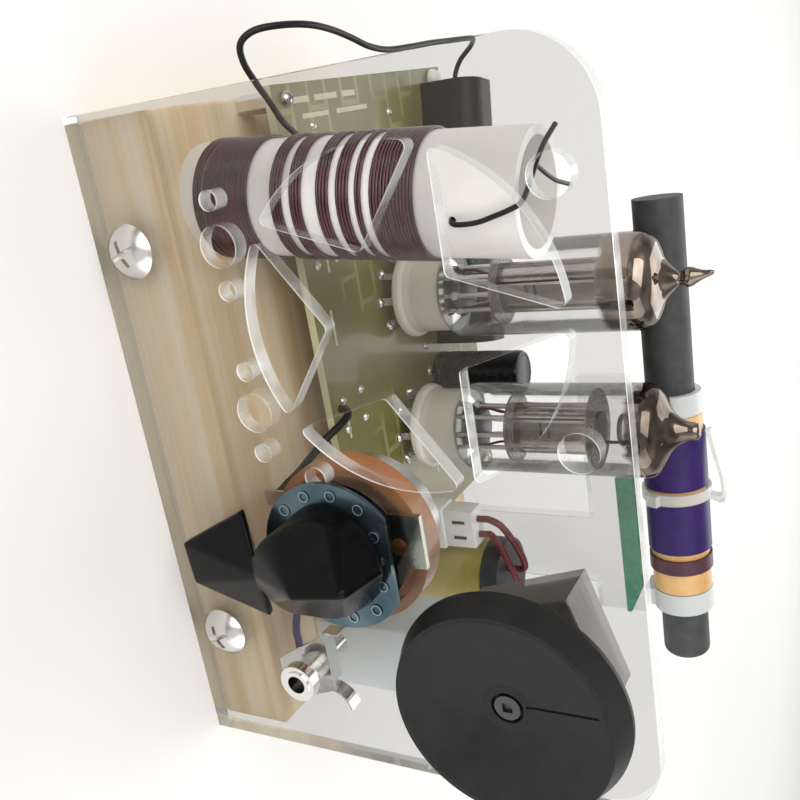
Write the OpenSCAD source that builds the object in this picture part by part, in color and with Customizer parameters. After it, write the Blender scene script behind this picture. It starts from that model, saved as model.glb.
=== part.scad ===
// Open two-tube radio on a pine board behind a clear panel with a star grille.
// Millimetres, +Z up. The origin is the middle of the base board's underside,
// and the panel faces -Y. A depth is measured back from the panel's front face.

/* [Base board] */
// Width of the board
board_w = 118; // [112:1:140]
// Depth of the board
board_depth = 90; // [88:1:110]
// Thickness of the board
board_t = 15; // [12:1:20]
// Bevel along the board's long edges
board_bevel = 0.8; // [0.4:0.1:1.5]

/* [Front panel] */
// Width of the clear panel
panel_w = 120; // [118:1:140]
// Height of the clear panel
panel_h = 90; // [88:1:100]
// Thickness of the clear panel
panel_t = 3; // [2:0.5:4]
// Radius of the panel's two upper corners
panel_corner_r = 12; // [4:1:14]

/* [Star grille] */
// Place of the star's centre across the panel
star_x = -22.4; // [-24:0.2:-18]
// Height of the star's centre
star_z = 56; // [52:0.5:58]
// Radius of the round opening
grille_r = 27; // [22:0.5:28]
// Radius at which the star's points would meet
star_tip_r = 31.1; // [30.5:0.1:34]
// Radius of the star's inner corners
star_inner_r = 11.9; // [9:0.1:13]
// Rounding of the openings' corners
petal_round = 1; // [0.5:0.1:1.5]

/* [Spare panel holes] */
// Height of the upper pair of holes
upper_hole_z = 82.4; // [80:0.2:84]
// Place of the first upper hole
upper_hole_x = -41.7; // [-44:0.1:-40]
// Distance between the upper holes
upper_hole_span = 38.7; // [36:0.1:40]
// Diameter of the upper holes
upper_hole_d = 6.2; // [3:0.1:7]
// Height of the lower pair of holes
lower_hole_z = 26.4; // [22:0.1:27]
// Place of the first lower hole
lower_hole_x = -36.5; // [-40:0.1:-34]
// Distance between the lower holes
lower_hole_span = 28.3; // [26:0.1:30]
// Diameter of the lower holes
lower_hole_d = 7; // [4:0.1:8]
// Distance from a lower hole to the small hole on each side of it
side_hole_offset = 7.3; // [6.5:0.1:8]
// Diameter of the small side holes
side_hole_d = 3.4; // [2:0.1:4]
// Diameter of the hole beside the control
ring_hole_d = 4; // [2:0.1:5]

/* [Panel screws] */
// Distance between the two screws that hold the panel
panel_screw_span = 74; // [60:1:90]
// Height of the panel screws
panel_screw_z = 7.6; // [6.5:0.1:8.5]
// Diameter of a panel screw's head
panel_head_d = 9.6; // [7:0.1:11]
// Height of a panel screw's head
panel_head_h = 2.4; // [1.5:0.1:2.8]
// Diameter of a panel screw's shank
panel_shank_d = 4; // [3:0.1:5]
// Length of a panel screw's shank
panel_shank_l = 18; // [12:1:25]

/* [Coil] */
// Place of the coil's foot across the board
coil_x = -42.6; // [-44:0.1:-41.5]
// Depth of the coil's foot
coil_depth = 16.4; // [16:0.1:17.5]
// Lean of the coil to the right
coil_lean = 4.6; // [0:0.1:6]
// Outer diameter of the coil's pipe
former_d = 19.6; // [18:0.1:20.4]
// Wall of the coil's pipe
former_wall = 1.5; // [1:0.1:2.5]
// Length of the coil's pipe
former_l = 60; // [56:0.5:62]
// Diameter of the coil's wire
coil_wire_d = 0.6; // [0.5:0.05:0.8]
// Distance between neighbouring turns
turn_pitch = 1.25; // [1.25:0.01:1.35]
// Gap between the wire and the pipe
wire_lift = 0.12; // [0.1:0.01:0.3]
// Number of turns in the lower winding
reaction_turns = 9; // [6:1:9]
// Height of the lower winding's first turn above the board
reaction_start = 2.8; // [2.5:0.1:3.6]
// Diameter of the black lead over the pipe's rim
coil_lead_d = 0.8; // [0.7:0.1:1.4]

/* [Circuit board] */
// Width of the circuit board
pcb_w = 100; // [99:0.5:104]
// Depth of the circuit board
pcb_depth = 68.4; // [68:0.2:70]
// Thickness of the circuit board
pcb_t = 1.6; // [1.2:0.1:2]
// Gap between the panel's back and the circuit board
pcb_gap = 21.5; // [20.5:0.1:22]
// Distance of the circuit board's left edge inside the panel's left edge
pcb_inset = 0; // [0:0.1:1]
// Height of the standoffs
standoff_h = 8.4; // [6:0.1:12]
// Width across the flats of a standoff
standoff_af = 3.2; // [2.8:0.1:3.4]
// Distance of the corner holes from the circuit board's sides
pcb_hole_side = 2.6; // [2.4:0.1:2.7]
// Distance of the corner holes from the circuit board's front and rear edges
pcb_hole_end = 4.2; // [4:0.1:4.6]
// Diameter of a circuit board screw's shank
small_shank_d = 1.6; // [1.2:0.1:1.8]
// Diameter of a circuit board screw's head
small_head_d = 3; // [2.6:0.1:3]
// Height of a circuit board screw's head
small_head_h = 1.4; // [1:0.1:1.6]
// Length of a circuit board screw's shank
small_shank_l = 5; // [4:0.5:6]

/* [Tubes] */
// Place of the left tube across the board
left_tube_x = -14.5; // [-16:0.1:-13]
// Depth of the left tube
left_tube_depth = 57; // [54:0.1:58]
// Place of the right tube across the board
right_tube_x = 15.2; // [13:0.1:16]
// Step of the right tube in front of the left tube
tube_step = 1.8; // [1.5:0.1:5]
// Outer diameter of a tube's glass
glass_d = 19; // [17:0.1:19.2]
// Wall of a tube's glass
glass_wall = 0.9; // [0.7:0.1:1.2]
// Height of a tube's glass without its tip
glass_h = 43.5; // [38:0.5:46]
// Height of the dome that closes a tube's glass
dome_h = 5; // [4:0.5:8]
// Height of the sealed tip on the left tube
left_tip_h = 9; // [4:0.5:10]
// Height of the sealed tip on the right tube
right_tip_h = 5; // [3:0.5:10]
// Diameter of a tube's pins
pin_d = 1.02; // [0.8:0.02:1.1]
// Length of the pins below the glass
pin_l = 6.2; // [5:0.1:7]
// Diameter of the circle of pins
pin_circle_d = 9.53; // [9:0.01:10]
// Height of the left tube's plates
left_plate_h = 20.5; // [18:0.5:21]
// Height of the right tube's plates
right_plate_h = 17; // [15:0.5:21]
// Diameter of a tube socket
socket_d = 16.4; // [15.6:0.1:17]
// Height of a tube socket's ceramic body
socket_h = 10; // [8.5:0.1:12]
// Height of a tube socket above the circuit board
socket_lift = 3.5; // [3:0.1:5]
// Free space left around each pin in its socket
pin_clearance = 0.34; // [0.32:0.01:0.4]

/* [Tuning dial and capacitor] */
// Place of the tuning shaft across the panel
tuning_x = 35.1; // [34:0.1:36]
// Height of the tuning shaft
tuning_z = 70.2; // [69:0.1:71]
// Diameter of the dial
dial_d = 37.8; // [34:0.1:38]
// Diameter of the dial's front edge
dial_front_d = 34.8; // [32:0.1:36]
// Thickness of the dial at its rim
dial_t = 5; // [4.5:0.1:6]
// Gap between the panel and the dial
dial_gap = 7.5; // [7:0.1:9]
// Diameter of the tuning and control shafts
shaft_d = 6; // [5:0.1:6.2]
// Gap around a shaft that turns in a bore
running_gap = 0.05; // [0.03:0.01:0.1]
// Width and height of the tuning capacitor's case
case_w = 20; // [19.6:0.1:21]
// Depth of the tuning capacitor's case
case_t = 9.6; // [9.4:0.1:11]
// Wall of the tuning capacitor's case
case_wall = 0.8; // [0.6:0.1:0.9]
// Turn of the capacitor's case about its shaft
case_turn = 17; // [0:1:20]
// Radius of the capacitor's moving plates
rotor_r = 8.5; // [8:0.1:8.6]

/* [Control] */
// Place of the control shaft across the panel
control_x = 17.4; // [16.5:0.1:17.6]
// Height of the control shaft
control_z = 37.3; // [37:0.1:37.6]
// Radius of the control's brown disc
track_disc_r = 15.2; // [14.8:0.1:16]
// Thickness of the control's brown disc
track_disc_t = 3.5; // [2.5:0.1:4]
// Radius of the control's metal cover
cover_r = 12.5; // [12:0.1:14.7]
// Depth of the control's metal cover
cover_t = 6; // [5.5:0.5:12]
// Diameter of the control's threaded bush
bush_d = 7; // [6.8:0.1:8]
// Radius of the scale plate
scale_r = 13.7; // [13.2:0.1:14.5]
// Thickness of the scale plate
scale_t = 0.8; // [0.5:0.1:0.8]
// Radius of the knob's round foot
knob_r = 10; // [9:0.1:10]
// Length of the knob's pointer from the shaft
pointer_l = 29.6; // [26:0.1:29.8]
// Height of the knob's ridge above the panel
knob_h = 14.1; // [12:0.1:16]
// Turn of the pointer from straight down
pointer_turn = 4; // [0:1:8]

/* [Phone jack] */
// Place of the jack across the panel
jack_x = 44.4; // [44:0.1:46]
// Height of the jack
jack_z = 24.3; // [23.5:0.1:24.6]
// Diameter of the jack's bore
jack_bore_d = 3.6; // [3.55:0.01:3.7]
// Outer diameter of the jack's bush
jack_bush_d = 5.2; // [4.8:0.1:5.6]
// Diameter of the jack's round nut
jack_nut_d = 7.2; // [6.8:0.1:8]
// Depth of the jack's sleeve behind the panel
jack_sleeve_l = 9; // [8:0.5:10]

/* [Ferrite aerial] */
// Place of the rod's left end across the board
rod_x = -27.8; // [-32:0.2:-26]
// Gap between the left tube and the rod's left end
rod_gap = 1; // [0.9:0.1:2.5]
// Height of the rod's axis
rod_z = 78.2; // [78:0.1:80]
// Length of the rod
rod_l = 102; // [98:1:110]
// Diameter of the rod
rod_d = 10; // [9:0.1:10]
// Swing of the rod's right end to the front
rod_yaw = 1.9; // [0:0.1:2]
// Place of the coil sleeve along the rod
sleeve_start = 45; // [44:0.1:46]
// Length of the coil sleeve
sleeve_l = 40.2; // [38:0.1:41]
// Wall of the coil sleeve
sleeve_wall = 1.1; // [0.8:0.1:1.2]
// Height of the windings above the coil sleeve
rod_winding_t = 0.5; // [0.3:0.1:0.6]
// Height of the clear bracket's upper edge
bracket_h = 70.4; // [66:0.1:70.4]
// Thickness of the clear bracket
bracket_t = 3; // [2:0.5:3]
// Width of the bracket's leg
bracket_leg_w = 16; // [14:0.5:16]
// Diameter of a bracket screw's shank
bracket_shank_d = 2.9; // [2.2:0.1:3.5]
// Diameter of a bracket screw's head
bracket_head_d = 5.6; // [4.6:0.1:6]
// Height of a bracket screw's head
bracket_head_t = 2; // [1.4:0.1:2.4]
// Length of a bracket screw's shank
bracket_shank_l = 10; // [7:0.5:14]

/* [Power and small parts] */
// Length of the battery box
battery_box_l = 59; // [57:0.5:60]
// Depth of the battery box
battery_box_w = 13.4; // [13:0.1:15]
// Height of the battery box
battery_box_h = 13; // [12.4:0.1:15]
// Turn of the battery box on the circuit board
battery_box_yaw = 10.4; // [8:0.1:12]
// Wall of the battery box
battery_wall = 0.8; // [0.6:0.1:0.8]
// Diameter of the battery cell
cell_d = 10.5; // [9:0.1:10.6]
// Length of the battery cell
cell_l = 44.5; // [42:0.5:52]
// Diameter of the battery lead
battery_lead_d = 1.1; // [0.8:0.1:1.8]
// Diameter of the filter capacitor
filter_d = 10; // [8:0.5:10.5]
// Height of the filter capacitor
filter_h = 21; // [16:0.5:24]
// Diameter of the step-up coil's core
step_up_d = 17; // [15:0.1:17]
// Height of the step-up coil with its core
step_up_h = 30; // [24:0.5:32]
// Width of the pale transformer
transformer_w = 15; // [12:0.5:15]
// Depth of the pale transformer
transformer_t = 14; // [12:0.5:15]
// Height of the pale transformer
transformer_h = 28; // [22:0.5:34]
// Diameter of the hook-up wires
hook_wire_d = 1.5; // [1:0.1:1.6]

/* [Hidden] */

$fn = 64;
cut = 0.5;

// Planes of the board, the panel and the circuit board
panel_front_y = -board_depth / 2 - panel_t;
panel_back_y = panel_front_y + panel_t;
pcb_x = -panel_w / 2 + pcb_inset;
pcb_y = panel_back_y + pcb_gap;
pcb_z = board_t + standoff_h;
pcb_top = pcb_z + pcb_t;

// Screws and standoffs
panel_screws_x = [-panel_screw_span / 2, panel_screw_span / 2];
pcb_hole_x = [pcb_hole_side, pcb_w - pcb_hole_side];
pcb_hole_y = [pcb_hole_end, pcb_depth - pcb_hole_end];
pcb_corners = [for (x = pcb_hole_x, y = pcb_hole_y) [pcb_x + x, pcb_y + y]];
standoff_hole_depth = standoff_h - 2;
stud_d = 1.6;
stud_l = 6;
thread_gap = 0.02;
lead_gap = 0.2;
notch_gap = 0.5;

// Coil
former_r = former_d / 2;
former_bore_r = former_r - former_wall;
turn_r = former_r + coil_wire_d / 2 + wire_lift;
turn_steps = 24;
wire_sides = 6;
winding_start_angle = 60;
wire_hole_r = coil_wire_d / 2 + 0.25;
reaction_groups = [[reaction_turns, reaction_start]];
tuning_groups = [[2, 18.3], [2, 22.1], [2, 27.1], [2, 30.7], [1, 34.1], [6, 36.6]];
lead_hole_angle = -76;
lead_hole_z = 50.1;

// Black lead in the pipe's own frame, from the hole over the near rim to the left rim
coil_lead_route = [
    [1.9, -7.6, 50.1], [2.3, -9, 50.1], [2.6, -10.1, 50.2], [2.8, -10.7, 51.4], [2.5, -10.8, 54.4],
    [1.6, -10.8, 57.2], [0.7, -10.8, 59.6], [0, -10.2, 60.9], [-0.8, -8.7, 61.1], [-1.8, -7, 61],
    [-3, -4.8, 60.8], [-4.4, -2.8, 60.7], [-5.8, -0.9, 60.7], [-7.2, 0.9, 60.9], [-8.6, 2.8, 61.3],
    [-9.4, 3.8, 61.6]
];
coil_branch_route = [
    [-4.4, -2.8, 60.7], [-3.4, -0.6, 60.7], [-2.2, 2, 60.8], [-1, 5, 61], [-0.2, 8, 61.2], [0.4, 10.4, 61.4]
];

// Tubes
right_tube_depth = left_tube_depth - tube_step;
tubes = [[left_tube_x, left_tube_depth], [right_tube_x, right_tube_depth]];
socket_z = pcb_top + socket_lift;
socket_top = socket_z + socket_h;
seat_gap = 0.4;
glass_z = socket_top + seat_gap;
glass_r = glass_d / 2;
pin_angles = [for (i = [0 : 6]) 45 * i + 45];
contact_r = pin_circle_d / 2 + 1.85;
contact_w = 1.6;
contact_t = 0.4;
button_t = 1.6;
lower_mica_z = 10.6;
mica_t = 0.4;
mica_gap = 0.3;
mica_r = glass_r - glass_wall - mica_gap;
lower_mica_r = mica_r - 0.8;
upper_mica_r = [5.4, mica_r];
plates_z = lower_mica_z + mica_t;
plate_heights = [left_plate_h, right_plate_h];
support_d = 0.8;
anode_w = 3.6;
anode_r = 3.1;
anode_t = 0.4;
wing_t = 0.9;
wing_w = 2.4;
getter_r = 2.8;
getter_lift = 5;
tip_r = 2;

// Tuning
dial_r = dial_d / 2;
dial_front_r = dial_front_d / 2;
shaft_r = shaft_d / 2;
bore_r = shaft_r + running_gap;
fixed_bore_r = shaft_r + thread_gap;
dial_boss_r = 6;
dial_boss_h = 3.5;
dial_edge_h = 0.8;
dial_rim_w = 0.8;
hub_r = 4.2;
hub_z = 1.9;
hub_recess_r = 2.65;
hub_floor_z = 0.9;
shaft_web = 0.7;
dial_screw_r = 1.25;
dial_screw_head_r = 2.1;
dial_screw_l = 6;
line_w = 0.5;
line_depth = 0.35;
line_start_r = 3.2;
line_end_r = 16;
line_turn = 12;
rotor_plates = 3;
stator_plates = 4;
plate_t = 0.5;
plate_pitch = 1.9;
first_plate = 0.55;
panel_shaft_r = shaft_r + 0.6;

// Control
bush_r = bush_d / 2;
bush_out = 3;
bush_plate_t = 3;
bush_plate_r = 12;
tab_w = 9.7;
tab_h = 15.7;
tab_x = -6.9;
tab_t = 1;
tab_hole_x = -0.9;
tab_hole_h = 11.1;
tab_hole_r = 1.7;
nut_t = 2;
nut_r = 5.8;
disc_depth = panel_t + bush_plate_t;
disc_back = disc_depth + track_disc_t;
foot_gap = 0.5;
knob_foot = scale_t + foot_gap;
knob_edge = 0.8;
recess_top = bush_out + foot_gap;
pointer_lift = 2.8;
grip_edge_h = 4.3;
grip_taper = 0.9;
grip_end_y = 4.6;
grip_end_r = 7.4;
grip_end_h = 6.3;
flare_y = -14.5;
flare_w = 20.4;
pointer_tip_w = 8;
pointer_ridge_z = 8.4;
knob_screw_z = 6.6;
knob_screw_r = 1.5;
knob_screw_l = 5;
knob_shaft_top = knob_h - 4;
lug_x = [-5, 0, 5];
lug_t = 0.6;
lug_l = 7.4;
lug_w = 3;
lug_lap = 2.2;
wiper_gap = 0.9;
cover_wall = 0.6;
wiper_reach = cover_r - cover_wall - 1.2;
shaft_back = disc_back + cover_t - cover_wall - 0.5;
mark_r = 1.1;
mark_count = 11;
mark_top = 9;
mark_lift = 0.2;
scale_flat_h = 11.3;
lip_x = [-6.9, -0.9];
lip_w = 3.1;

// Jack
jack_plate_t = 0.8;
jack_plate = [[-7.8, 4.3], [4.1, 4.3], [5.8, -0.3], [3.6, -4.3], [1.6, -7.1], [-1.2, -7.1], [-2.9, -4.3]];
jack_nut_t = 2;
jack_bush_out = 2.3;

// Ferrite aerial
rod_r = rod_d / 2;
rod_depth = left_tube_depth + glass_r + rod_gap + rod_r;
bracket_lead = 5.8;
rod_fit = 0.1;
sleeve_r = rod_r + rod_fit + sleeve_wall;
clamp_t = 1.2;
clamp_gap = 0.2;
left_clamp_l = 4.7;
right_clamp_l = 4.8;
coil_bands = [[3.7, 12.2], [19.1, 11.4]];
link_band = [32, 3.3];
bracket_x = 41.5;
bracket_head_x = 8;
bracket_head_w = 56;
bracket_head_h = 11;
bracket_foot_l = 14;
bracket_screw_inset = 4;
bracket_y = panel_front_y + rod_depth - bracket_lead;
strip_t = 1.6;
strip_x = 30.6;
strip_w = 33;
strip_h = 4;
strip_taper = 6.5;
tie_t = 0.5;
tie_w = 2.4;
tie_place = 16.4;
tie_lift = 3;
tie_tail = 12.8;

// Battery box, with its left front lower corner here
box_x = -56.8;
box_inset = 10.4;
box_depth = panel_t + pcb_gap + pcb_depth - box_inset;
box_corner_r = 5;
lid_h = 4;
lead_hole_y = 4.05;
box_lead_z = 6.9;

// Filter capacitor, step-up coil, transformer and connector
filter_x = 8.2;
filter_depth = 71.5;
step_up_x = 49.5;
step_up_depth = 52;
flange_t = 4;
transformer_x = 44;
transformer_depth = 18;
connector_x = 30.5;
connector_depth = 44.5;
connector_w = 9.5;
connector_t = 6;
header_h = 9;
plug_h = 7;
plug_step = 0.45;
resistor_r = 1.2;
resistor_l = 6.5;
resistor_wire_r = 0.3;
resistor_x = 28;
resistor_depths = [76, 81, 86];

// Wire routes, whose zero line lies this deep behind the panel's front
route_depth = 48;
battery_lead_route = [
    [-54.6, 38.2, 32], [-57.4, 38.7, 32], [-60.2, 38.7, 33.6], [-62.6, 36.6, 37.4], [-63.8, 31.6, 40.4],
    [-63.8, 25, 41.5], [-63.6, 17, 41.4], [-63.4, 9, 41.2], [-63, 1, 41], [-62.8, -7, 40.4],
    [-63.6, -13, 40], [-65.2, -18, 39.6], [-66.6, -23.4, 39.3], [-67.5, -29, 38.8], [-67.8, -34.4, 37.2],
    [-67.5, -38.2, 34.6], [-66, -39.4, 32.4], [-63.4, -38, 31.2], [-60.2, -35.4, 30.9], [-57, -31.6, 30.2],
    [-53.6, -27.8, 29.4], [-51.2, -23.8, 28.9], [-50.2, -20.6, 27.8], [-50.2, -19.6, 26.2], [-50.2, -19.6, 24.2]
];
hook_up_route = [
    [1.2, -20.5, 24.2], [1.2, -20.5, 25.2], [1.2, -20.5, 26.2], [1.8, -22.2, 27.6], [2.8, -25, 27.2],
    [4.6, -28, 25.4], [7.2, -30.6, 23.2], [9.8, -32.6, 20.8], [11.6, -33.6, 18.6], [12.4, -34.8, 18],
    [12.4, -36.2, 18], [12.4, -37.8, 18]
];
jack_wire_route = [
    [22.4, -37.8, 18], [22.4, -36.4, 18], [22.4, -35, 18], [23.6, -33.9, 18.6], [26.4, -34.4, 19.8],
    [29.6, -37, 20.8], [32.8, -39.8, 20.9], [36.2, -41.2, 20.2], [39.6, -41, 19.2], [42.6, -40, 18.4],
    [44.4, -40, 18.1], [44.6, -41.4, 18], [44.6, -42.7, 18], [44.6, -44.1, 18]
];
step_up_route_1 = [
    [33.6, -0.5, 41.1], [33.6, -0.5, 42.4], [33.6, -0.5, 43.6], [35, -0.2, 46], [38.4, 0.4, 48],
    [42.4, 1.4, 49.2], [45.4, 2.2, 49.4], [46.7, 2.6, 48.6], [46.8, 2.6, 47.4], [46.8, 2.6, 46.2],
    [46.8, 2.6, 45.1]
];
step_up_route_2 = [
    [37.2, -0.5, 41.1], [37.2, -0.5, 42.4], [37.2, -0.5, 43.6], [38.8, -1.2, 45.4], [42, -1.6, 47],
    [46, -1.2, 48.2], [49.4, -0.2, 48.9], [50.9, 0.3, 48.4], [51, 0.4, 47.3], [51, 0.4, 46.2], [51, 0.4, 45.1]
];

// Points and tubes
function unit(v) = v / norm(v);
function arc(c, r, a, b, n) = [for (i = [0 : n]) c + r * [cos(a + (b - a) * i / n), sin(a + (b - a) * i / n)]];
function flat_mirror(p) = [for (i = [len(p) - 1 : -1 : 0]) [p[i][0], -p[i][1]]];
function tangents(p) = [for (i = [0 : len(p) - 1]) unit(p[min(i + 1, len(p) - 1)] - p[max(i - 1, 0)])];
function across(t, v) = unit(v - (v * t) * t);
function side_of(t) = abs(t[2]) < 0.8 ? across(t, [0, 0, 1]) : across(t, [1, 0, 0]);
function carried(t) = [for (i = 0, n = side_of(t[0]); i < len(t); i = i + 1, n = i < len(t)
    ? across(t[i], n) : n) n];
function between(a, b, c, d, t) = 0.5 * ((2 * b) + (c - a) * t + (2 * a - 5 * b + 4 * c - d) * t * t
    + (3 * b - a - 3 * c + d) * t * t * t);
function smooth(p, n) = concat([for (i = [0 : len(p) - 2], k = [0 : n - 1])
    between(p[max(i - 1, 0)], p[i], p[i + 1], p[min(i + 2, len(p) - 1)], k / n)], [p[len(p) - 1]]);
function least_gap(p, skip, d) =
    min([for (i = [0 : len(p) - 1 - skip], j = [i + skip : len(p) - 1]) norm(p[i] - p[j])]) - d;

module wire_tube(p, r, sides) {
    t = tangents(p);
    n = carried(t);
    points = [for (i = [0 : len(p) - 1], j = [0 : sides - 1])
        p[i] + r * (cos(360 * j / sides) * n[i] + sin(360 * j / sides) * cross(t[i], n[i]))];
    last = (len(p) - 1) * sides;
    walls = [for (i = [0 : len(p) - 2], j = [0 : sides - 1], k = [0 : 1])
        let (a = i * sides + j, b = i * sides + (j + 1) % sides)
        k == 0 ? [a, a + sides, b + sides] : [a, b + sides, b]];
    ends = [for (j = [1 : sides - 2], k = [0 : 1]) k == 0 ? [0, j, j + 1] : [last, last + j + 1, last + j]];
    polyhedron(points, concat(walls, ends));
}

// Frames
module front_frame(x, z) translate([x, panel_front_y, z]) rotate([90, 0, 0]) children();
module at_depth(x, depth, z) translate([x, panel_front_y + depth, z]) children();
module route_frame() at_depth(0, route_depth, 0) children();
module coil_frame() translate([coil_x, panel_front_y + coil_depth, board_t])
    rotate([0, coil_lean, 0]) children();
module rod_frame() at_depth(rod_x, rod_depth, rod_z) rotate([0, 0, -rod_yaw]) rotate([0, 90, 0]) children();
module box_frame() at_depth(box_x, box_depth, pcb_top) rotate([0, 0, -battery_box_yaw]) children();
module tube_frame(i) at_depth(tubes[i][0], tubes[i][1], 0) children();

module ring(outer, inner, h) {
    difference() {
        cylinder(h = h, r = outer);
        translate([0, 0, -cut]) cylinder(h = h + 2 * cut, r = inner);
    }
}

module screw(head_r, head_h, shank_r, shank_l) {
    ball_r = (head_r * head_r + head_h * head_h) / (2 * head_h);
    difference() {
        union() {
            intersection() {
                translate([0, 0, head_h - ball_r]) sphere(r = ball_r);
                cylinder(h = head_h, r = head_r);
            }
            translate([0, 0, -shank_l]) cylinder(h = shank_l + head_h / 4, r = shank_r);
        }
        for (a = [0, 90]) {
            rotate([0, 0, a + 20]) translate([-head_r / 2, -head_r / 12, head_h / 2])
                cube([head_r, head_r / 6, head_h]);
        }
    }
}

module base_board() {
    color("burlywood") difference() {
        translate([-board_w / 2, 0, 0]) rotate([90, 0, 90]) linear_extrude(board_w) board_section();
        for (x = panel_screws_x) {
            front_frame(x, panel_screw_z) translate([0, 0, -panel_shank_l - cut])
                cylinder(h = panel_shank_l, r = panel_shank_d / 2);
        }
        for (c = pcb_corners) {
            translate([c[0], c[1], board_t - stud_l]) cylinder(h = stud_l + cut, r = stud_d / 2);
        }
        bracket_screw_places() translate([0, 0, bracket_t - bracket_shank_l])
            cylinder(h = bracket_shank_l, r = bracket_shank_d / 2);
    }
}

module board_section() {
    b = board_bevel;
    d = board_depth / 2;
    polygon([[-d, 0], [d, 0], [d, board_t - b], [d - b, board_t], [-d, board_t]]);
}

module panel_outline() {
    w = panel_w / 2;
    r = panel_corner_r;
    h = panel_h - r;
    polygon(concat([[-w, 0], [w, 0]], arc([w - r, h], r, 0, 90, 24), arc([r - w, h], r, 90, 180, 24)));
}

module petal() {
    edge = [star_tip_r * cos(36) - star_inner_r, star_tip_r * sin(36)];
    lean = atan2(edge[1], edge[0]);
    along = [cos(lean), sin(lean)];
    inward = [sin(lean), -cos(lean)];
    inner = [star_inner_r + petal_round / sin(lean), 0];
    w = [star_inner_r, 0] + petal_round * inward;
    t = -w * along + sqrt(pow(w * along, 2) - w * w + pow(grille_r - petal_round, 2));
    corner = w + t * along;
    turn = atan2(corner[1], corner[0]);
    upper = concat(arc([0, 0], grille_r, 0, turn, 14), arc(corner, petal_round, turn, lean + 90, 8));
    tip = arc(inner, petal_round, lean + 90, 270 - lean, 8);
    polygon(concat(upper, tip, flat_mirror(upper)));
}

module panel_hole(x, z, r) {
    front_frame(x, z) translate([0, 0, -panel_t - cut]) cylinder(h = panel_t + 2 * cut, r = r);
}

module front_panel() {
    color("lightcyan", 0.35) difference() {
        translate([0, panel_back_y, 0]) rotate([90, 0, 0]) linear_extrude(panel_t) panel_outline();
        for (i = [0 : 4]) {
            front_frame(star_x, star_z) rotate([0, 0, 54 + 72 * i]) translate([0, 0, -panel_t - cut])
                linear_extrude(panel_t + 2 * cut) petal();
        }
        for (x = [upper_hole_x, upper_hole_x + upper_hole_span]) {
            panel_hole(x, upper_hole_z, upper_hole_d / 2);
        }
        for (x = [lower_hole_x, lower_hole_x + lower_hole_span]) {
            panel_hole(x, lower_hole_z, lower_hole_d / 2);
            panel_hole(x - side_hole_offset, lower_hole_z, side_hole_d / 2);
            panel_hole(x + side_hole_offset, lower_hole_z, side_hole_d / 2);
        }
        for (x = panel_screws_x) {
            panel_hole(x, panel_screw_z, panel_shank_d / 2 + thread_gap);
        }
        panel_hole(control_x - scale_r - ring_hole_d / 2 + 1.6, control_z - 1.1, ring_hole_d / 2);
        panel_hole(control_x, control_z, bush_r + thread_gap);
        panel_hole(tuning_x, tuning_z, panel_shaft_r);
        panel_hole(jack_x, jack_z, jack_bush_d / 2 + thread_gap);
    }
}

module panel_screws() {
    color("silver") for (x = panel_screws_x) {
        front_frame(x, panel_screw_z) screw(panel_head_d / 2, panel_head_h, panel_shank_d / 2, panel_shank_l);
    }
}

module coil_former() {
    winding_ends = [for (g = [reaction_groups, tuning_groups]) each winding_end_heights(g)];
    color("white") difference() {
        coil_frame() translate([0, 0, -former_r]) cylinder(h = former_l + former_r, r = former_r);
        coil_frame() translate([0, 0, -former_r - cut])
            cylinder(h = former_l + former_r + 2 * cut, r = former_bore_r);
        translate([coil_x - former_d, panel_front_y + coil_depth - former_d, board_t - 2 * former_d])
            cube(2 * former_d);
        coil_frame() for (h = winding_ends) {
            translate([0, 0, h]) rotate([0, 90, winding_start_angle])
                cylinder(h = former_d, r = wire_hole_r, $fn = 24);
        }
        coil_frame() translate([0, 0, lead_hole_z]) rotate([0, 90, lead_hole_angle])
            cylinder(h = former_d, r = coil_lead_d / 2 + lead_gap, $fn = 32);
    }
}

function turns_before(g, k) = k == 0 ? 0 : g[k - 1][0] + turns_before(g, k - 1);
function total_turns(g) = turns_before(g, len(g));
function group_of(g, t) = max([for (k = [0 : len(g) - 1]) if (turns_before(g, k) <= t || k == 0) k]);
function group_top(g, k) = g[k][1] + turn_pitch * (g[k][0] - 0.25);
function turn_height(g, t) =
    let (k = group_of(g, min(t, total_turns(g) - 0.001)), u = t - turns_before(g, k), left = g[k][0] - u)
    k == len(g) - 1 || left > 0.25 ? g[k][1] + turn_pitch * u
        : group_top(g, k) + (g[k + 1][1] - group_top(g, k)) * (0.25 - left) / 0.25;
function winding_end_heights(g) = [turn_height(g, 0), turn_height(g, total_turns(g))];
function turn_point(g, i) =
    let (a = winding_start_angle + 360 * i / turn_steps)
    [turn_r * cos(a), turn_r * sin(a), turn_height(g, i / turn_steps)];
function stub_point(r, h) = [r * cos(winding_start_angle), r * sin(winding_start_angle), h];

module winding(g, name) {
    ends = winding_end_heights(g);
    n = total_turns(g) * turn_steps;
    inside = former_bore_r - 0.2;
    loops = [for (i = [1 : n - 1]) turn_point(g, i)];
    path = concat([stub_point(inside, ends[0]), stub_point(turn_r, ends[0])], loops,
        [stub_point(turn_r, ends[1]), stub_point(inside, ends[1])]);
    echo(str(name, " least gap"), least_gap(path, 8, coil_wire_d));
    coil_frame() wire_tube(path, coil_wire_d / 2, wire_sides);
}

module tuning_winding() color("#4a1420") winding(tuning_groups, "tuning winding");

module reaction_winding() color("#4a1420") winding(reaction_groups, "reaction winding");

module coil_lead() {
    color("#181818") coil_frame() {
        wire_tube(smooth(coil_lead_route, 2), coil_lead_d / 2, 8);
        wire_tube(smooth(coil_branch_route, 2), coil_lead_d / 2 - 0.05, 8);
    }
}

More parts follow.
